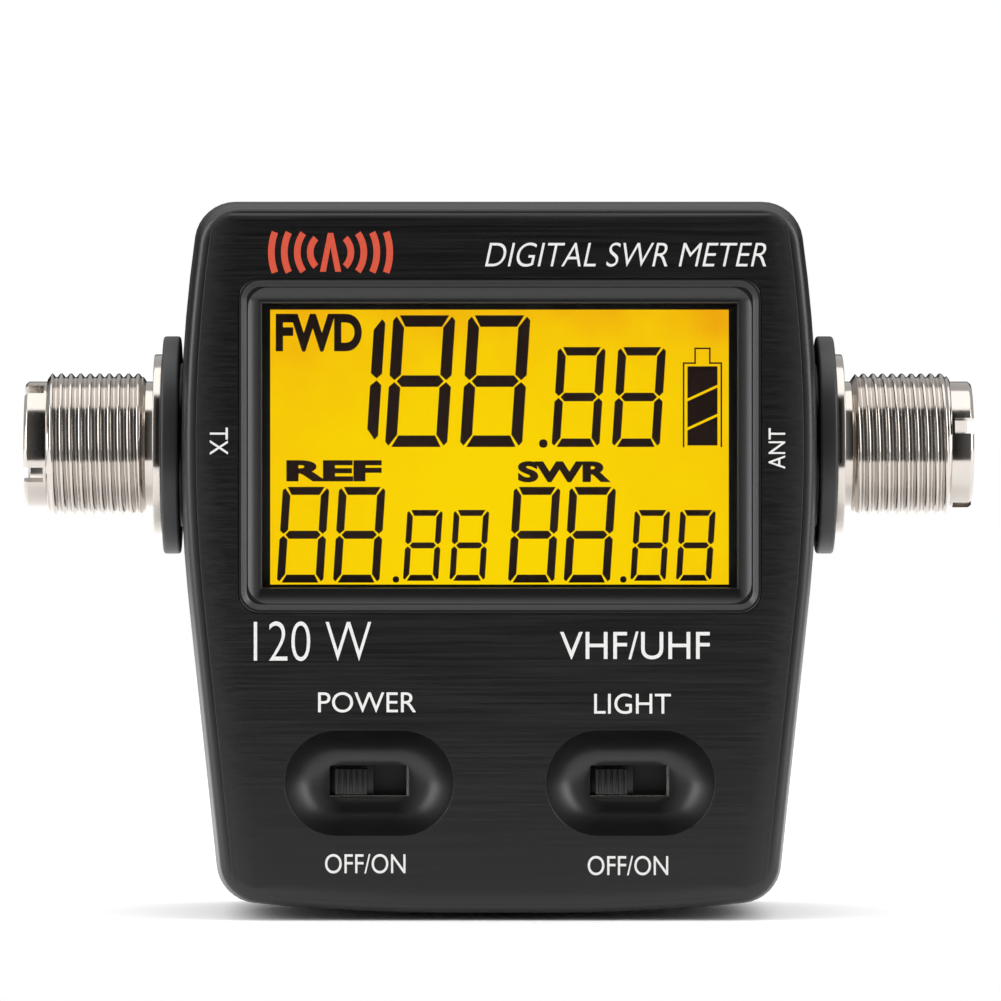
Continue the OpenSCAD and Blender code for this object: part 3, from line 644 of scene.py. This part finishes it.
def front_case():
    """The front half of the case: a tray with rounded edges, open for the display and both bowls."""
    layers = [(part_y, seam), (part_y - seam, 0), (part_y - 2, 0)] + rounding(face_y, -1, front_round)
    body = case_block("front_case", layers)
    hollow = case_block("hollow", [(part_y + 1, 0), (face_y + wall, 0)], wall)
    display = prism("display_cut", rectangle(surround_w - 2, surround_h - 2, surround_r, z=display_z),
                    face_y - 1, part_y)
    bowls = [prism("bowl_cut", stadium(dish_w + 1, dish_h + 1, side * switch_x, switch_z),
                   face_y - 1, part_y) for side in (-1, 1)]
    combine(body, [hollow, display, *bowls])
    return finished(smooth(body), CASE, stands_for=["front_shell"])


def display_surround():
    """The frame round the display: a thin raised rim, a hollow slope and a straight inner wall."""
    rim, lip = 0.28, 0.12
    start = rim + 0.1
    slope_w = (surround_w - opening_w) / 2 - rim
    slope_h = (surround_h - opening_h) / 2 - rim
    section = [(0, 0, face_y + 2.4, surround_r), (0, 0, front_y + 0.12, surround_r),
               (0.05, 0.05, front_y + 0.03, surround_r), (0.14, 0.14, front_y, surround_r),
               (rim, rim, front_y + 0.02, surround_r - 0.1),
               (start, start, front_y + lip, surround_r - 0.2)]
    steps = 14
    for k in range(1, steps + 1):
        t = k / steps
        deep = lip + (slope_depth - lip) * (1 - (1 - t) ** 1.6)
        r = max((surround_r - 0.2) * (1 - t), 0.12)
        section.append((start + (slope_w - 0.1) * t, start + (slope_h - 0.1) * t, front_y + deep, r))
    in_w, in_h = (surround_w - opening_w) / 2, (surround_h - opening_h) / 2
    section += [(in_w + 0.06, in_h + 0.06, front_y + slope_depth + 0.05, 0.1),
                (in_w + 0.08, in_h + 0.08, window_low.y, 0.1),
                (in_w - 1.2, in_h - 1.2, window_low.y, 0.5), (in_w - 1.2, in_h - 1.2, face_y + 2.4, 0.5)]
    rings = [(y, rectangle(surround_w - 2 * a, surround_h - 2 * b, r, z=display_z))
             for a, b, y, r in section]
    piece = layered("display_surround", rings, ring=True)
    return finished(smooth(piece, 40), SATIN, stands_for=["front_shell"])


def switch_bowl(side, name):
    """The smooth hollow round a switch: steep at its rim, easing to a flat bottom with a window."""
    thick, steps = 1.0, 24
    x, floor_w, floor_h = side * switch_x, slot_w + 0.6, slot_h + 0.6
    section = [(dish_w + 2 * thick, dish_h + 2 * thick, face_y)]
    for k in range(steps + 1):
        t = k / steps
        section.append((dish_w + (floor_w - dish_w) * t, dish_h + (floor_h - dish_h) * t,
                        face_y + dish_depth * (1 - (1 - t) ** 1.9)))
    # The floor closes on a thin slit, which the window then cuts away
    slit_w, slit_h = slot_w - slot_h + 0.4, 0.4
    section += [(slit_w, slit_h, dish_floor_y), (slit_w, slit_h, dish_floor_y + thick),
                (slot_w + 4, slot_h + 4, dish_floor_y + thick)]
    rings = [(y, stadium(w, h, x, switch_z)) for w, h, y in section]
    bowl = layered(name, rings, ring=True)
    combine(bowl, [box("window", (x - slot_w / 2, face_y, switch_z - slot_h / 2),
                       (x + slot_w / 2, dish_floor_y + 2 * thick, switch_z + slot_h / 2), 0.2)])
    return finished(smooth(bowl, 40), SATIN, stands_for=["front_shell"])


def fascia():
    """The brushed front plate, rolled back a little along its edge, with its cut edges broken."""
    front = front_y + plate_proud
    rolled = [(0, face_y - front), (0, 0.53), (0.06, 0.47), (0.3, 0.4), (0.8, 0.29), (1.4, 0.185),
              (2.1, 0.1), (3, 0.04), (4.2, 0.01), (5.6, 0)]
    # The roll is wide at the sides, and tight along the top and the foot
    rings = [(front + back, case_outline(plate_in + inset, plate_edge + 0.3 * inset,
                                         max(plate_corner - inset, 0.3))) for inset, back in rolled]
    plate = layered("fascia", rings)
    display = prism("display_cut", rectangle(surround_w + 0.1, surround_h + 0.1, surround_r, z=display_z),
                    front - 1, face_y + 1)
    bowls = [prism("bowl_cut", stadium(dish_w, dish_h, side * switch_x, switch_z), front - 1, face_y + 1)
             for side in (-1, 1)]
    combine(plate, [display, *bowls])
    soften(plate, 0.09, 1)
    return finished(smooth(plate, 24), BRUSHED, stands_for=["fascia_plate"])


def rear_case():
    """The rear half of the case, with its battery bay, screw wells, socket pads and door seat."""
    flanks = [(part_y, seam), (part_y + seam, 0)] + [(part_y + 3.2 * k, 0) for k in range(1, 9)]
    body = case_block("rear_case", flanks + rounding(back_y, 1, back_round))
    pads = rod("pads", "X", (0, axis_z), pad_r, -half_w, half_w, 96)
    combine(body, [pads], "UNION")
    hollow = case_block("hollow", [(part_y - 1, 0), (part_y + 6, 0), (0, 0), (back_y - 7, 0),
                                   (back_y - wall, 0)], wall)
    keep = [box("bay_walls", bay_low - Vector((bay_wall, bay_wall, 6)),
                bay_high + Vector((bay_wall, 0, bay_wall)))]
    towers = [(side * x, z) for side in (-1, 1) for x, z in screw_places]
    keep += [rod("tower", "Y", t, tower_r, part_y, back_y) for t in towers]
    for side in (-1, 1):
        start, end = sorted((side * (half_w - pad_t), side * (half_w + 1)))
        keep.append(rod("pad", "X", (0, axis_z), pad_r, start, end))
    combine(hollow, keep)
    wells = [rod("well", "Y", t, well_r, screw_seat_y, back_y + 1) for t in towers]
    holes = [rod("hole", "Y", t, hole_r, part_y - 1, 0) for t in towers]
    seat = box("door_seat", (door_low.x - door_gap, door_seat_y - 0.15, door_foot - door_gap),
               (door_high.x + door_gap, back_y + 1, door_high.z + door_gap))
    bay = box("bay", bay_low, bay_high)
    slots, ways = [], []
    for side in (-1, 1):
        left, right = side * hook_x - hook_w / 2 - hook_gap, side * hook_x + hook_w / 2 + hook_gap
        slots.append(box("hook_slot", (left, door_low.y - 1, door_low.z - hook_gap),
                         (right, back_y - wall, bay_low.z + 1)))
        ways.append(box("hook_way", (left, door_low.y, door_foot - door_gap),
                        (right, door_seat_y, bay_low.z + 1)))
    thumb = rod("thumb_notch", "Y", (0, door_high.z + 1.6), thumb_r, back_y - 0.9, back_y + 1)
    barrels = rod("barrel_holes", "X", (0, axis_z), barrel_hole_r, -half_w - 5, half_w + 5)
    combine(body, [hollow, barrels, *wells, *holes, seat, bay, *slots, *ways, thumb])
    return finished(smooth(body, 30), CASE, stands_for=["rear_shell"])


front_case()
display_surround()
for side, label in ((-1, "power_bowl"), (1, "light_bowl")):
    switch_bowl(side, label)
fascia()
rear_case()

# ---------------- display


def display_parts():
    """The clear window, the lit cell in its black border, and the dark segments on it."""
    lit_y = lcd_y - 0.05
    window = box("clear_window", (window_low.x, window_low.y, window_low.z),
                 (window_high.x, window_high.y - 0.25, window_high.z), 0.05)
    finished(window, ACRYLIC, stands_for=["display_window"])
    lit = box("lit_area", (lit_left, lit_y, lit_low), (lit_right, lcd_y + 0.02, lit_high), 0.01)
    finished(lit, CELL_LIT)
    front, back = lit_y - 0.05, lit_y + 0.01
    lean = 0.065

    def leant(points, x, z):
        return [(x + px + lean * pz, z + pz) for px, pz in points]

    def digit(x, z, w, h, stroke, lit_segments="abcdefg"):
        """Seven bars with mitred ends and a thin gap; x is the digit's left end at its foot."""
        top, half, s = h, h / 2, stroke
        gap = 0.13
        chamfer = s * 0.45
        bars = {
            "a": [(chamfer + gap, top), (s + gap, top - s), (w - s - gap, top - s),
                  (w - chamfer - gap, top)],
            "d": [(chamfer + gap, 0), (w - chamfer - gap, 0), (w - s - gap, s), (s + gap, s)],
            "g": [(s * 0.55 + gap, half), (s + gap, half - s / 2), (w - s - gap, half - s / 2),
                  (w - s * 0.55 - gap, half), (w - s - gap, half + s / 2), (s + gap, half + s / 2)],
            "e": [(0, chamfer), (s * 0.3, gap), (s, s + gap * 0.6), (s, half - s / 2 - gap * 0.6),
                  (s * 0.45, half - gap * 0.8), (0, half - s * 0.4 - gap)],
        }
        bars["f"] = [(px, top - pz) for px, pz in reversed(bars["e"])]
        bars["c"] = [(w - px, pz) for px, pz in reversed(bars["e"])]
        bars["b"] = [(w - px, top - pz) for px, pz in bars["e"]]
        return [prism("bar", leant(bars[k], x, z), front, back) for k in lit_segments]

    def point(x, z, d):
        return prism("point", rectangle(d, d, d * 0.42, x + d / 2, z + d / 2, 3), front, back)

    bars = digit(-12.43 - 7.0, 51.9, 6.2, 13.35, 1.22, "bc")
    for x in (-12.45, -4.3):
        bars += digit(x, 51.24, 6.75, 14.3, 1.25)
    for x in (5.65, 12.2):
        bars += digit(x, 51.24, 5.2, 10.85, 0.92)
    for x in (-24.2, -18.1, 0.9, 6.95):
        bars += digit(x, 36.5, 5.05, 10.4, 0.87)
    for x in (-10.5, -5.45, 14.2, 19.15):
        bars += digit(x, 36.7, 3.85, 7.7, 0.65)
    bars += [point(4.3, 51.15, 0.92), point(-11.6, 36.5, 0.7), point(13.1, 36.5, 0.7)]

    # Battery sign: a thin outline with a nub, and three blocks parted by two slanted gaps
    left, right, low, high, line = 20.0, 24.1, 51.3, 61.95, 0.17
    shoulder, nub_in = high - 1.6, 1.25
    outer = [(left, low), (right, low), (right, shoulder), (right - nub_in, shoulder),
             (right - nub_in, high), (left + nub_in, high), (left + nub_in, shoulder), (left, shoulder)]
    for (x0, z0), (x1, z1) in list(zip(outer, outer[1:] + outer[:1]))[1:]:
        a, b = sorted([x0, x1]), sorted([z0, z1])
        bars.append(box("line", (a[0] - line / 2, front, b[0] - line / 2),
                        (a[1] + line / 2, back, b[1] + line / 2)))
    inner, lift = 0.42, 1.5
    cuts = [low + 0.1, low + 1.75, low + 4.9, shoulder - 0.35]
    for k in range(3):
        base, top = cuts[k] + (0.3 if k else 0), cuts[k + 1]
        tilt_low, tilt_high = (lift if k else 0), (lift if k < 2 else 0)
        bars.append(prism("block", [(left + inner, base), (right - inner, base + tilt_low),
                                    (right - inner, top + tilt_high), (left + inner, top)], front, back))
    bars += [word("FWD", -24.3, -14.95, 61.6, 65.7, front, back, weight=0.045),
             word("REF", -23.15, -12.8, 47.5, 49.8, front, back, weight=0.05),
             word("SWR", 2.0, 12.1, 47.4, 49.7, front, back, weight=0.05)]
    finished(joined("display_segments", bars), SEGMENT)


def word(text, x0, x1, z0, z1, y0, y1, weight=0.0, slope=0.0, turn=0):
    """Flat lettering that fills a box on the front, with its own thickness; turn is in quarter turns."""
    deselect()
    bpy.ops.object.text_add()
    letters = bpy.context.object
    letters.data.body = text
    letters.data.offset = weight
    letters.data.shear = slope
    letters.data.resolution_u = 6
    letters.data.extrude = 0.5
    bpy.ops.object.convert(target="MESH")
    letters = named("word")
    points = [v.co.copy() for v in letters.data.vertices]
    if turn:
        points = [Vector((turn * -p.y, turn * p.x, p.z)) for p in points]
    low = Vector([min(p[k] for p in points) for k in range(3)])
    high = Vector([max(p[k] for p in points) for k in range(3)])
    for vertex, p in zip(letters.data.vertices, points):
        u, v, w = [(p[k] - low[k]) / (high[k] - low[k]) for k in range(3)]
        vertex.co = Vector((x0 + (x1 - x0) * u, y1 + (y0 - y1) * w, z0 + (z1 - z0) * v)) * MM
    return close_up(letters, fill=False)


def lettering():
    """The white names on the plate, and the orange sign at its top left: a mast with radio waves."""
    y0, y1 = front_y, front_y + plate_proud + 0.1
    words = [
        word("DIGITAL SWR METER", -1.6, 28.8, 70.75, 73.35, y0, y1, slope=0.25, weight=-0.008),
        word("120 W", -26.6, -13.9, 28.1, 32.4, y0, y1, weight=-0.012),
        word("VHF/UHF", 6.5, 22.7, 28.3, 31.3, y0, y1),
        word("POWER", -19.65, -9.05, 22.55, 24.75, y0, y1),
        word("LIGHT", 10.2, 18.5, 22.4, 24.6, y0, y1),
        word("OFF/ON", -18.9, -10.2, 5.15, 7.25, y0, y1),
        word("OFF/ON", 9.5, 18.2, 4.95, 7.05, y0, y1),
        word("TX", -31.35, -29.4, 50.4, 53.35, y0, y1, turn=-1),
        word("ANT", 29.05, 30.85, 48.9, 53.3, y0, y1, turn=1),
    ]
    finished(joined("plate_lettering", words), WHITE_INK)
    x, z, half_line = -18.3, 72.3, 0.36
    shapes = [prism("mast", [(x - 1.15, z - 2.1), (x - 0.5, z - 2.1), (x, z + 0.55), (x + 0.5, z - 2.1),
                             (x + 1.15, z - 2.1), (x + 0.3, z + 2.1), (x - 0.3, z + 2.1)], y0, y1)]
    for side in (-1, 1):
        for r, reach in ((2.2, 44), (3.6, 35), (5.0, 25.5), (6.4, 20)):
            turns = [math.radians(reach) * k / 8 for k in range(-8, 9)]
            arc = [(x + side * radius * math.cos(t), z + radius * math.sin(t))
                   for radius, way_round in ((r + half_line, turns), (r - half_line, reversed(turns)))
                   for t in way_round]
            shapes.append(prism("wave", arc, y0, y1))
    finished(joined("radio_sign", shapes), ORANGE_INK)


# ---------------- switches


def switch(side, name, body):
    """The switch seen through its window: a sheet-metal plate, and the ribbed knob at its OFF end."""
    x = side * switch_x
    low, high = span(name + "_switch_frame")
    plate = box(name + "_switch_plate", (low.x, low.y, low.z), (high.x, high.y, high.z))
    inside = box("inside", (low.x + 0.4, low.y + 0.4, low.z - 1), (high.x - 0.4, high.y + 1, high.z + 1))
    # The sheet shows as a thin bright edge at the window's right end and along its foot
    opening = box("opening", (x - slot_w / 2 - 0.1, low.y - 1, switch_z - slot_h / 2 + 0.24),
                  (x + slot_w / 2 - 0.27, low.y + 1, switch_z + slot_h / 2 + 0.1), 0.1)
    combine(plate, [inside, opening])
    finished(smooth(plate), SHEET, stands_for=[name + "_switch_frame"])
    low, high = span(name + "_slider")
    middle = (low.x + high.x) / 2
    carrier = box("carrier", (low.x, high.y - 0.8, low.z), (high.x, high.y, high.z), 0.1)
    stem = box("stem", (middle - knob_w / 2, low.y + 0.3, switch_z - knob_h / 2),
               (middle + knob_w / 2, high.y - 1, switch_z + knob_h / 2), 0.08)
    ribs, pitch = [], (knob_w - 0.36) / 5
    for k in range(6):
        rib_x = middle - knob_w / 2 + 0.18 + k * pitch
        ribs.append(box("rib", (rib_x - 0.17, low.y, switch_z - knob_h / 2),
                        (rib_x + 0.17, low.y + 0.6, switch_z + knob_h / 2), 0.1, 3))
    knob = joined(name + "_knob", [carrier, stem, *ribs])
    finished(smooth(knob), KNOB, body=body, stands_for=[name + "_slider"])


# ---------------- sockets


def rounded_profile(points, r=0.12, steps=3):
    """Rounds every corner of a closed profile of [distance, radius] points."""
    out = []
    for k, (x, y) in enumerate(points):
        here = Vector((x, y))
        before, after = Vector(points[k - 1]) - here, Vector(points[(k + 1) % len(points)]) - here
        reach = min(r, before.length * 0.4, after.length * 0.4)
        start, end = here + before.normalized() * reach, here + after.normalized() * reach
        for n in range(steps + 1):
            t = n / steps
            p = start.lerp(here, t).lerp(here.lerp(end, t), t)
            out.append((p.x, p.y))
    return out


def socket(side, prefix, notch_turn):
    """A threaded radio socket: flange, neck, thread, notched rim, and the bore with its insulator."""
    inner_end = min(abs(corner.x) for corner in span(prefix + "_socket_shell"))
    neck_x, thread_x = flange_x + 1, flange_x + 2.05
    rim_x, mouth_x = tip_x - 2.4, tip_x - 8.15
    flange_r, neck_r, mouth_r, bore_r = 10, 7.0, 6.0, 5.5
    notch_w, slit_w = 1.8, 0.44
    on_axis = (0, 0, axis_z * MM)

    def thread(x, a):
        """The radius of the rolled, rounded thread, which runs out at both ends."""
        turn = (x - thread_x) / thread_pitch - side * a / math.tau
        wave = math.cos(math.tau * turn)
        outer = min(thread_r, neck_r + 0.25 + (x - thread_x) * 1.4, neck_r + 0.25 + (rim_x - x) * 1.4)
        return min(thread_r - thread_depth * (0.5 - 0.5 * wave) ** 1.2, outer)

    steps = int((rim_x - thread_x) / thread_pitch * 14)
    crests = [(thread_x + 0.02 + (rim_x - thread_x - 0.04) * k / steps, thread) for k in range(steps + 1)]
    before = rounded_profile([
        (mouth_x, mouth_r), (mouth_x, bore_r), (inner_end, bore_r), (inner_end, neck_r), (flange_x, neck_r),
        (flange_x, flange_r), (neck_x, flange_r), (neck_x, neck_r), (thread_x, neck_r)], 0.15)[2:-3]
    after = rounded_profile([
        (rim_x, neck_r), (tip_x - 0.35, neck_r), (tip_x, neck_r - 0.3), (tip_x, mouth_r + 0.15),
        (tip_x - 0.15, mouth_r), (mouth_x, mouth_r)], 0.08)[2:-3]
    shell = turned(prefix + "_socket", before + crests + after, side, 112)
    cuts = []
    for k in range(4):
        a = math.radians(notch_turn) + k * math.pi / 2
        left, right = sorted((side * (rim_x + 0.3), side * (tip_x + 1)))
        notch = box("notch", (left, -notch_w / 2, 5), (right, notch_w / 2, 9))
        cuts.append(turn_to(notch, on_axis, a, "X"))
    combine(shell, cuts)
    finished(smooth(shell, 40), NICKEL, stands_for=[prefix + "_socket_shell"])

    ring = [(half_w, barrel_hole_r), (half_w, collar_r), (flange_x, collar_r), (flange_x, barrel_hole_r)]
    spacer = turned(prefix + "_spacer", rounded_profile(ring, 0.35, 5), side, 128)
    finished(smooth(spacer, 40), COLLAR, stands_for=[prefix + "_collar"])

    contact_in = mouth_x - 9.5
    rod_end = min(abs(corner.x) for corner in span(prefix + "_contact"))
    fill = turned(prefix + "_insulation", rounded_profile([
        (inner_end, 1.55), (inner_end, 5.45), (mouth_x, 5.45), (mouth_x, 4.4), (mouth_x - 0.5, 4.1),
        (mouth_x - 0.5, 3.05), (contact_in, 3.05), (contact_in, 1.55)], 0.06, 2), side, 96)
    finished(smooth(fill, 40), PTFE, stands_for=[prefix + "_insulator"])

    pin = turned(prefix + "_centre_contact", rounded_profile([
        (rod_end, 1.3), (contact_in, 1.3), (contact_in, 3), (mouth_x, 3), (mouth_x, 2.2),
        (mouth_x - 0.3, 2), (contact_in + 1.5, 2), (contact_in + 1.5, 0.4), (rod_end, 0.4)],
        0.08, 2), side, 64)
    slits = []
    for k in range(2):
        left, right = sorted((side * (mouth_x - 5), side * (mouth_x + 1)))
        slit = box("slit", (left, -slit_w / 2, -4), (right, slit_w / 2, 4))
        slits.append(turn_to(slit, on_axis, k * math.pi / 2 + 0.5, "X"))
    combine(pin, slits)
    finished(smooth(pin, 40), GOLD, stands_for=[prefix + "_contact"])


# ---------------- back


def battery_cover():
    """The battery door: a flat plate with a rounded hinge edge, two hooks and a ribbed thumb grip."""
    high = door_high
    panel = box("panel", (door_low.x, door_seat_y, door_foot), high)
    choose(panel)
    mode("EDIT")
    bpy.ops.mesh.select_all(action="DESELECT")
    mode("OBJECT")
    for edge in panel.data.edges:
        a, b = (panel.data.vertices[v].co / MM for v in edge.vertices)
        edge.select = abs(a.z - door_foot) < 0.01 and abs(b.z - door_foot) < 0.01 and abs(a.y - b.y) < 0.01
    mode("EDIT")
    bpy.ops.mesh.select_mode(type="EDGE")
    bpy.ops.mesh.bevel(offset=0.78 * MM, segments=8, affect="EDGES")
    bpy.ops.mesh.select_mode(type="VERT")
    mode("OBJECT")
    soften(panel, 0.2, 2)
    scoop_w, scoop_h, scoop_r, scoop_depth = 16, 5.4, 2, 0.55
    scoop = prism("scoop", rectangle(scoop_w, scoop_h, scoop_r, 0, high.z - 5, 6),
                  high.y - scoop_depth, high.y + 1)
    combine(panel, [scoop])
    ribs = [box("rib", (-6.5, high.y - 0.7, high.z - 7 + k), (6.5, high.y - 0.05, high.z - 6.55 + k), 0.15)
            for k in range(5)]
    arrow = prism("arrow", [(-1.6, high.z - 9.6), (0, high.z - 11.6), (1.6, high.z - 9.6)],
                  high.y - 0.3, high.y + 1)
    combine(panel, [arrow])
    hooks = []
    for side in (-1, 1):
        left, right, hook_y = side * hook_x - hook_w / 2, side * hook_x + hook_w / 2, door_low.y
        arm_top = door_foot + 1.6
        hooks += [box("arm", (left, hook_y, door_foot + 0.2), (right, door_seat_y + 0.5, arm_top), 0.1),
                  box("hook", (left, hook_y, door_low.z), (right, hook_y + hook_t, arm_top), 0.15)]
    cover = joined("battery_cover_panel", [panel, *ribs, *hooks])
    finished(smooth(cover, 30), CASE, body="battery_cover", stands_for=["battery_door"])


def cells():
    """Two AAA cells with rolled shoulders and a button, laid head to tail."""
    for name in ("upper_cell", "lower_cell"):
        low, high = span(name)
        r = (high.z - low.z) / 2
        middle = centre(low, high)
        half = (high.x - low.x) / 2
        way = 1 if name == "upper_cell" else -1
        profile = [(-half, r - 0.6), (-half + 0.25, r - 0.15), (-half + 0.9, r), (half - 2, r),
                   (half - 1.4, r - 0.2), (half - 1.1, r - 0.9), (half - 1, 2.1), (half - 0.6, 1.9),
                   (half - 0.1, 1.85), (half, 1.6)]

        def place(i, j, way=way, middle=middle, profile=profile):
            x, radius = profile[j]
            a = math.tau * i / 64
            return middle.x + way * x, middle.y + radius * math.cos(a), middle.z + radius * math.sin(a)

        cell = wrapped(name + "_can", 64, len(profile), place)
        finished(smooth(cell, 40), JACKET, stands_for=[name])


def springs():
    """A cone of spring wire against the flat end of each cell."""
    for name in ("upper_spring", "lower_spring"):
        low, high = span(name)
        middle = centre(low, high)
        outer = (high.z - low.z) / 2
        length, wire, turns, per_turn = high.x - low.x, 0.28, 4.5, 24
        steps = int(turns * per_turn)

        def place(i, j, middle=middle, low=low, length=length, steps=steps, outer=outer):
            t = j / steps
            a = math.tau * turns * t
            radius = outer - wire - t * 0.6
            along = low.x + wire + (length - 2 * wire) * t
            around = math.tau * i / 8
            out = radius + wire * math.cos(around)
            return (along + wire * math.sin(around), middle.y + out * math.cos(a),
                    middle.z + out * math.sin(a))

        spring = wrapped(name + "_coil", 8, steps + 1, place)
        finished(smooth(spring, 60), ZINC, stands_for=[name])


def screws():
    """The four case screws, with round heads and crossed slots, down in their wells."""
    parts, tip_y, head_y = [], screw_low.y, screw_high.y
    for side in (-1, 1):
        for x, z in screw_places:
            profile = [(tip_y, 0.5), (tip_y + 1, 1.2), (screw_seat_y, 1.2), (screw_seat_y, 2.1),
                       (head_y - 0.9, 2.1), (head_y - 0.3, 1.6), (head_y, 0.7)]
            made = wrapped("screw", 32, len(profile), lambda i, j: (
                side * x + profile[j][1] * math.cos(math.tau * i / 32), profile[j][0],
                z + profile[j][1] * math.sin(math.tau * i / 32)))
            for turn in (0, math.pi / 2):
                slot = box("slot", (-1.3, head_y - 0.8, -0.25), (1.3, head_y + 1, 0.25))
                combine(made, [turn_to(slot, Vector((side * x, 0, z)) * MM, 0.4 + turn, "Y")])
            parts.append(made)
    finished(smooth(joined("case_screw_set", parts), 40), ZINC, stands_for=["case_screws"])


display_parts()
lettering()
switch(-1, "power", "power_knob")
switch(1, "light", "light_knob")
socket(-1, "tx", 180 + 28)
socket(1, "ant", 180 - 18)
battery_cover()
cells()
springs()
screws()

# ---------------- camera, light and floor

# The lens stands level in front of the object, a little left of its middle.
camera_data = bpy.data.cameras.new("camera")
camera = bpy.data.objects.new("camera", camera_data)
bpy.context.scene.collection.objects.link(camera)
camera.location = Vector((-8, -919, 55.1)) * MM
camera.rotation_euler = (math.pi / 2, 0, 0)
camera_data.lens = 299.4
camera_data.sensor_width = 36
camera_data.shift_x = 0.0746
camera_data.shift_y = -0.089
camera_data.clip_start = 0.01
bpy.context.scene.camera = camera
bpy.context.scene.view_settings.view_transform = "Standard"


def softbox(name, at, target, size, power):
    data = bpy.data.lights.new(name, "AREA")
    data.shape = "RECTANGLE"
    data.size, data.size_y = size
    data.energy = power
    light = bpy.data.objects.new(name, data)
    bpy.context.scene.collection.objects.link(light)
    light.location = Vector(at)
    light.rotation_euler = (Vector(target) - Vector(at)).to_track_quat("-Z", "Y").to_euler()


softbox("overhead", (0, 0.02, 0.7), (0, 0.02, 0), (1.2, 0.6), 3)
softbox("left", (-0.6, -0.16, 0.27), (0, -0.02, 0.08), (0.2, 0.6), 2)
softbox("right", (0.6, -0.16, 0.27), (0, -0.02, 0.08), (0.2, 0.6), 2)

world = bpy.data.worlds.new("studio")
bpy.context.scene.world = world
world.use_nodes = True
tree = world.node_tree
tree.nodes.clear()
# Reflections see a dark room in front, pale screens at both sides, and the pale ceiling and backdrop.
way = add(tree, "ShaderNodeSeparateXYZ", {}, {0: add(tree, "ShaderNodeTexCoord", {}).outputs["Generated"]})
aside = add(tree, "ShaderNodeMath", {"operation": "ABSOLUTE"}, {0: way.outputs["X"]})
screens = rise(tree, 0.06, 0.6, aside.outputs[0])
ahead = rise(tree, 0.15, 0.05, way.outputs["Y"])
flanks = maths(tree, "MULTIPLY", screens, ahead)
ceiling = rise(tree, 0.88, 0.94, way.outputs["Z"])
behind = rise(tree, 0.0, 0.1, way.outputs["Y"])
raised = rise(tree, 0.2, 0.4, way.outputs["Z"])
backdrop = maths(tree, "MULTIPLY", behind, raised)
upper = maths(tree, "MAXIMUM", ceiling, backdrop)
lit_part = maths(tree, "MAXIMUM", upper, flanks)
room = blend(tree, "#141414", "#cfcfcf", lit_part)
ray = add(tree, "ShaderNodeLightPath", {})
mirrored = add(tree, "ShaderNodeBackground", {"Strength": 1.0}, {"Color": room})
pale = add(tree, "ShaderNodeBackground", {"Color": srgb("#ffffff"), "Strength": 1.0})
seen = add(tree, "ShaderNodeMixShader", {}, {0: ray.outputs["Is Glossy Ray"], 1: pale.outputs[0],
                                             2: mirrored.outputs[0]})
add(tree, "ShaderNodeOutputWorld", {}, {"Surface": seen.outputs[0]})

deselect()
bpy.ops.mesh.primitive_plane_add(size=1, location=(0, 0.4, 0))
floor = named("floor")
floor.data.transform(Matrix.Diagonal((1.6, 1.0, 1, 1)))
made, tree, place = material("plain_white_floor")
paper = noise(tree, 40, 2, place)
tone = blend(tree, "#ffffff", "#fbfbfb", paper)
show(tree, add(tree, "ShaderNodeBsdfPrincipled", {"Roughness": 0.8}, {"Base Color": tone}))
floor.data.materials.append(made)
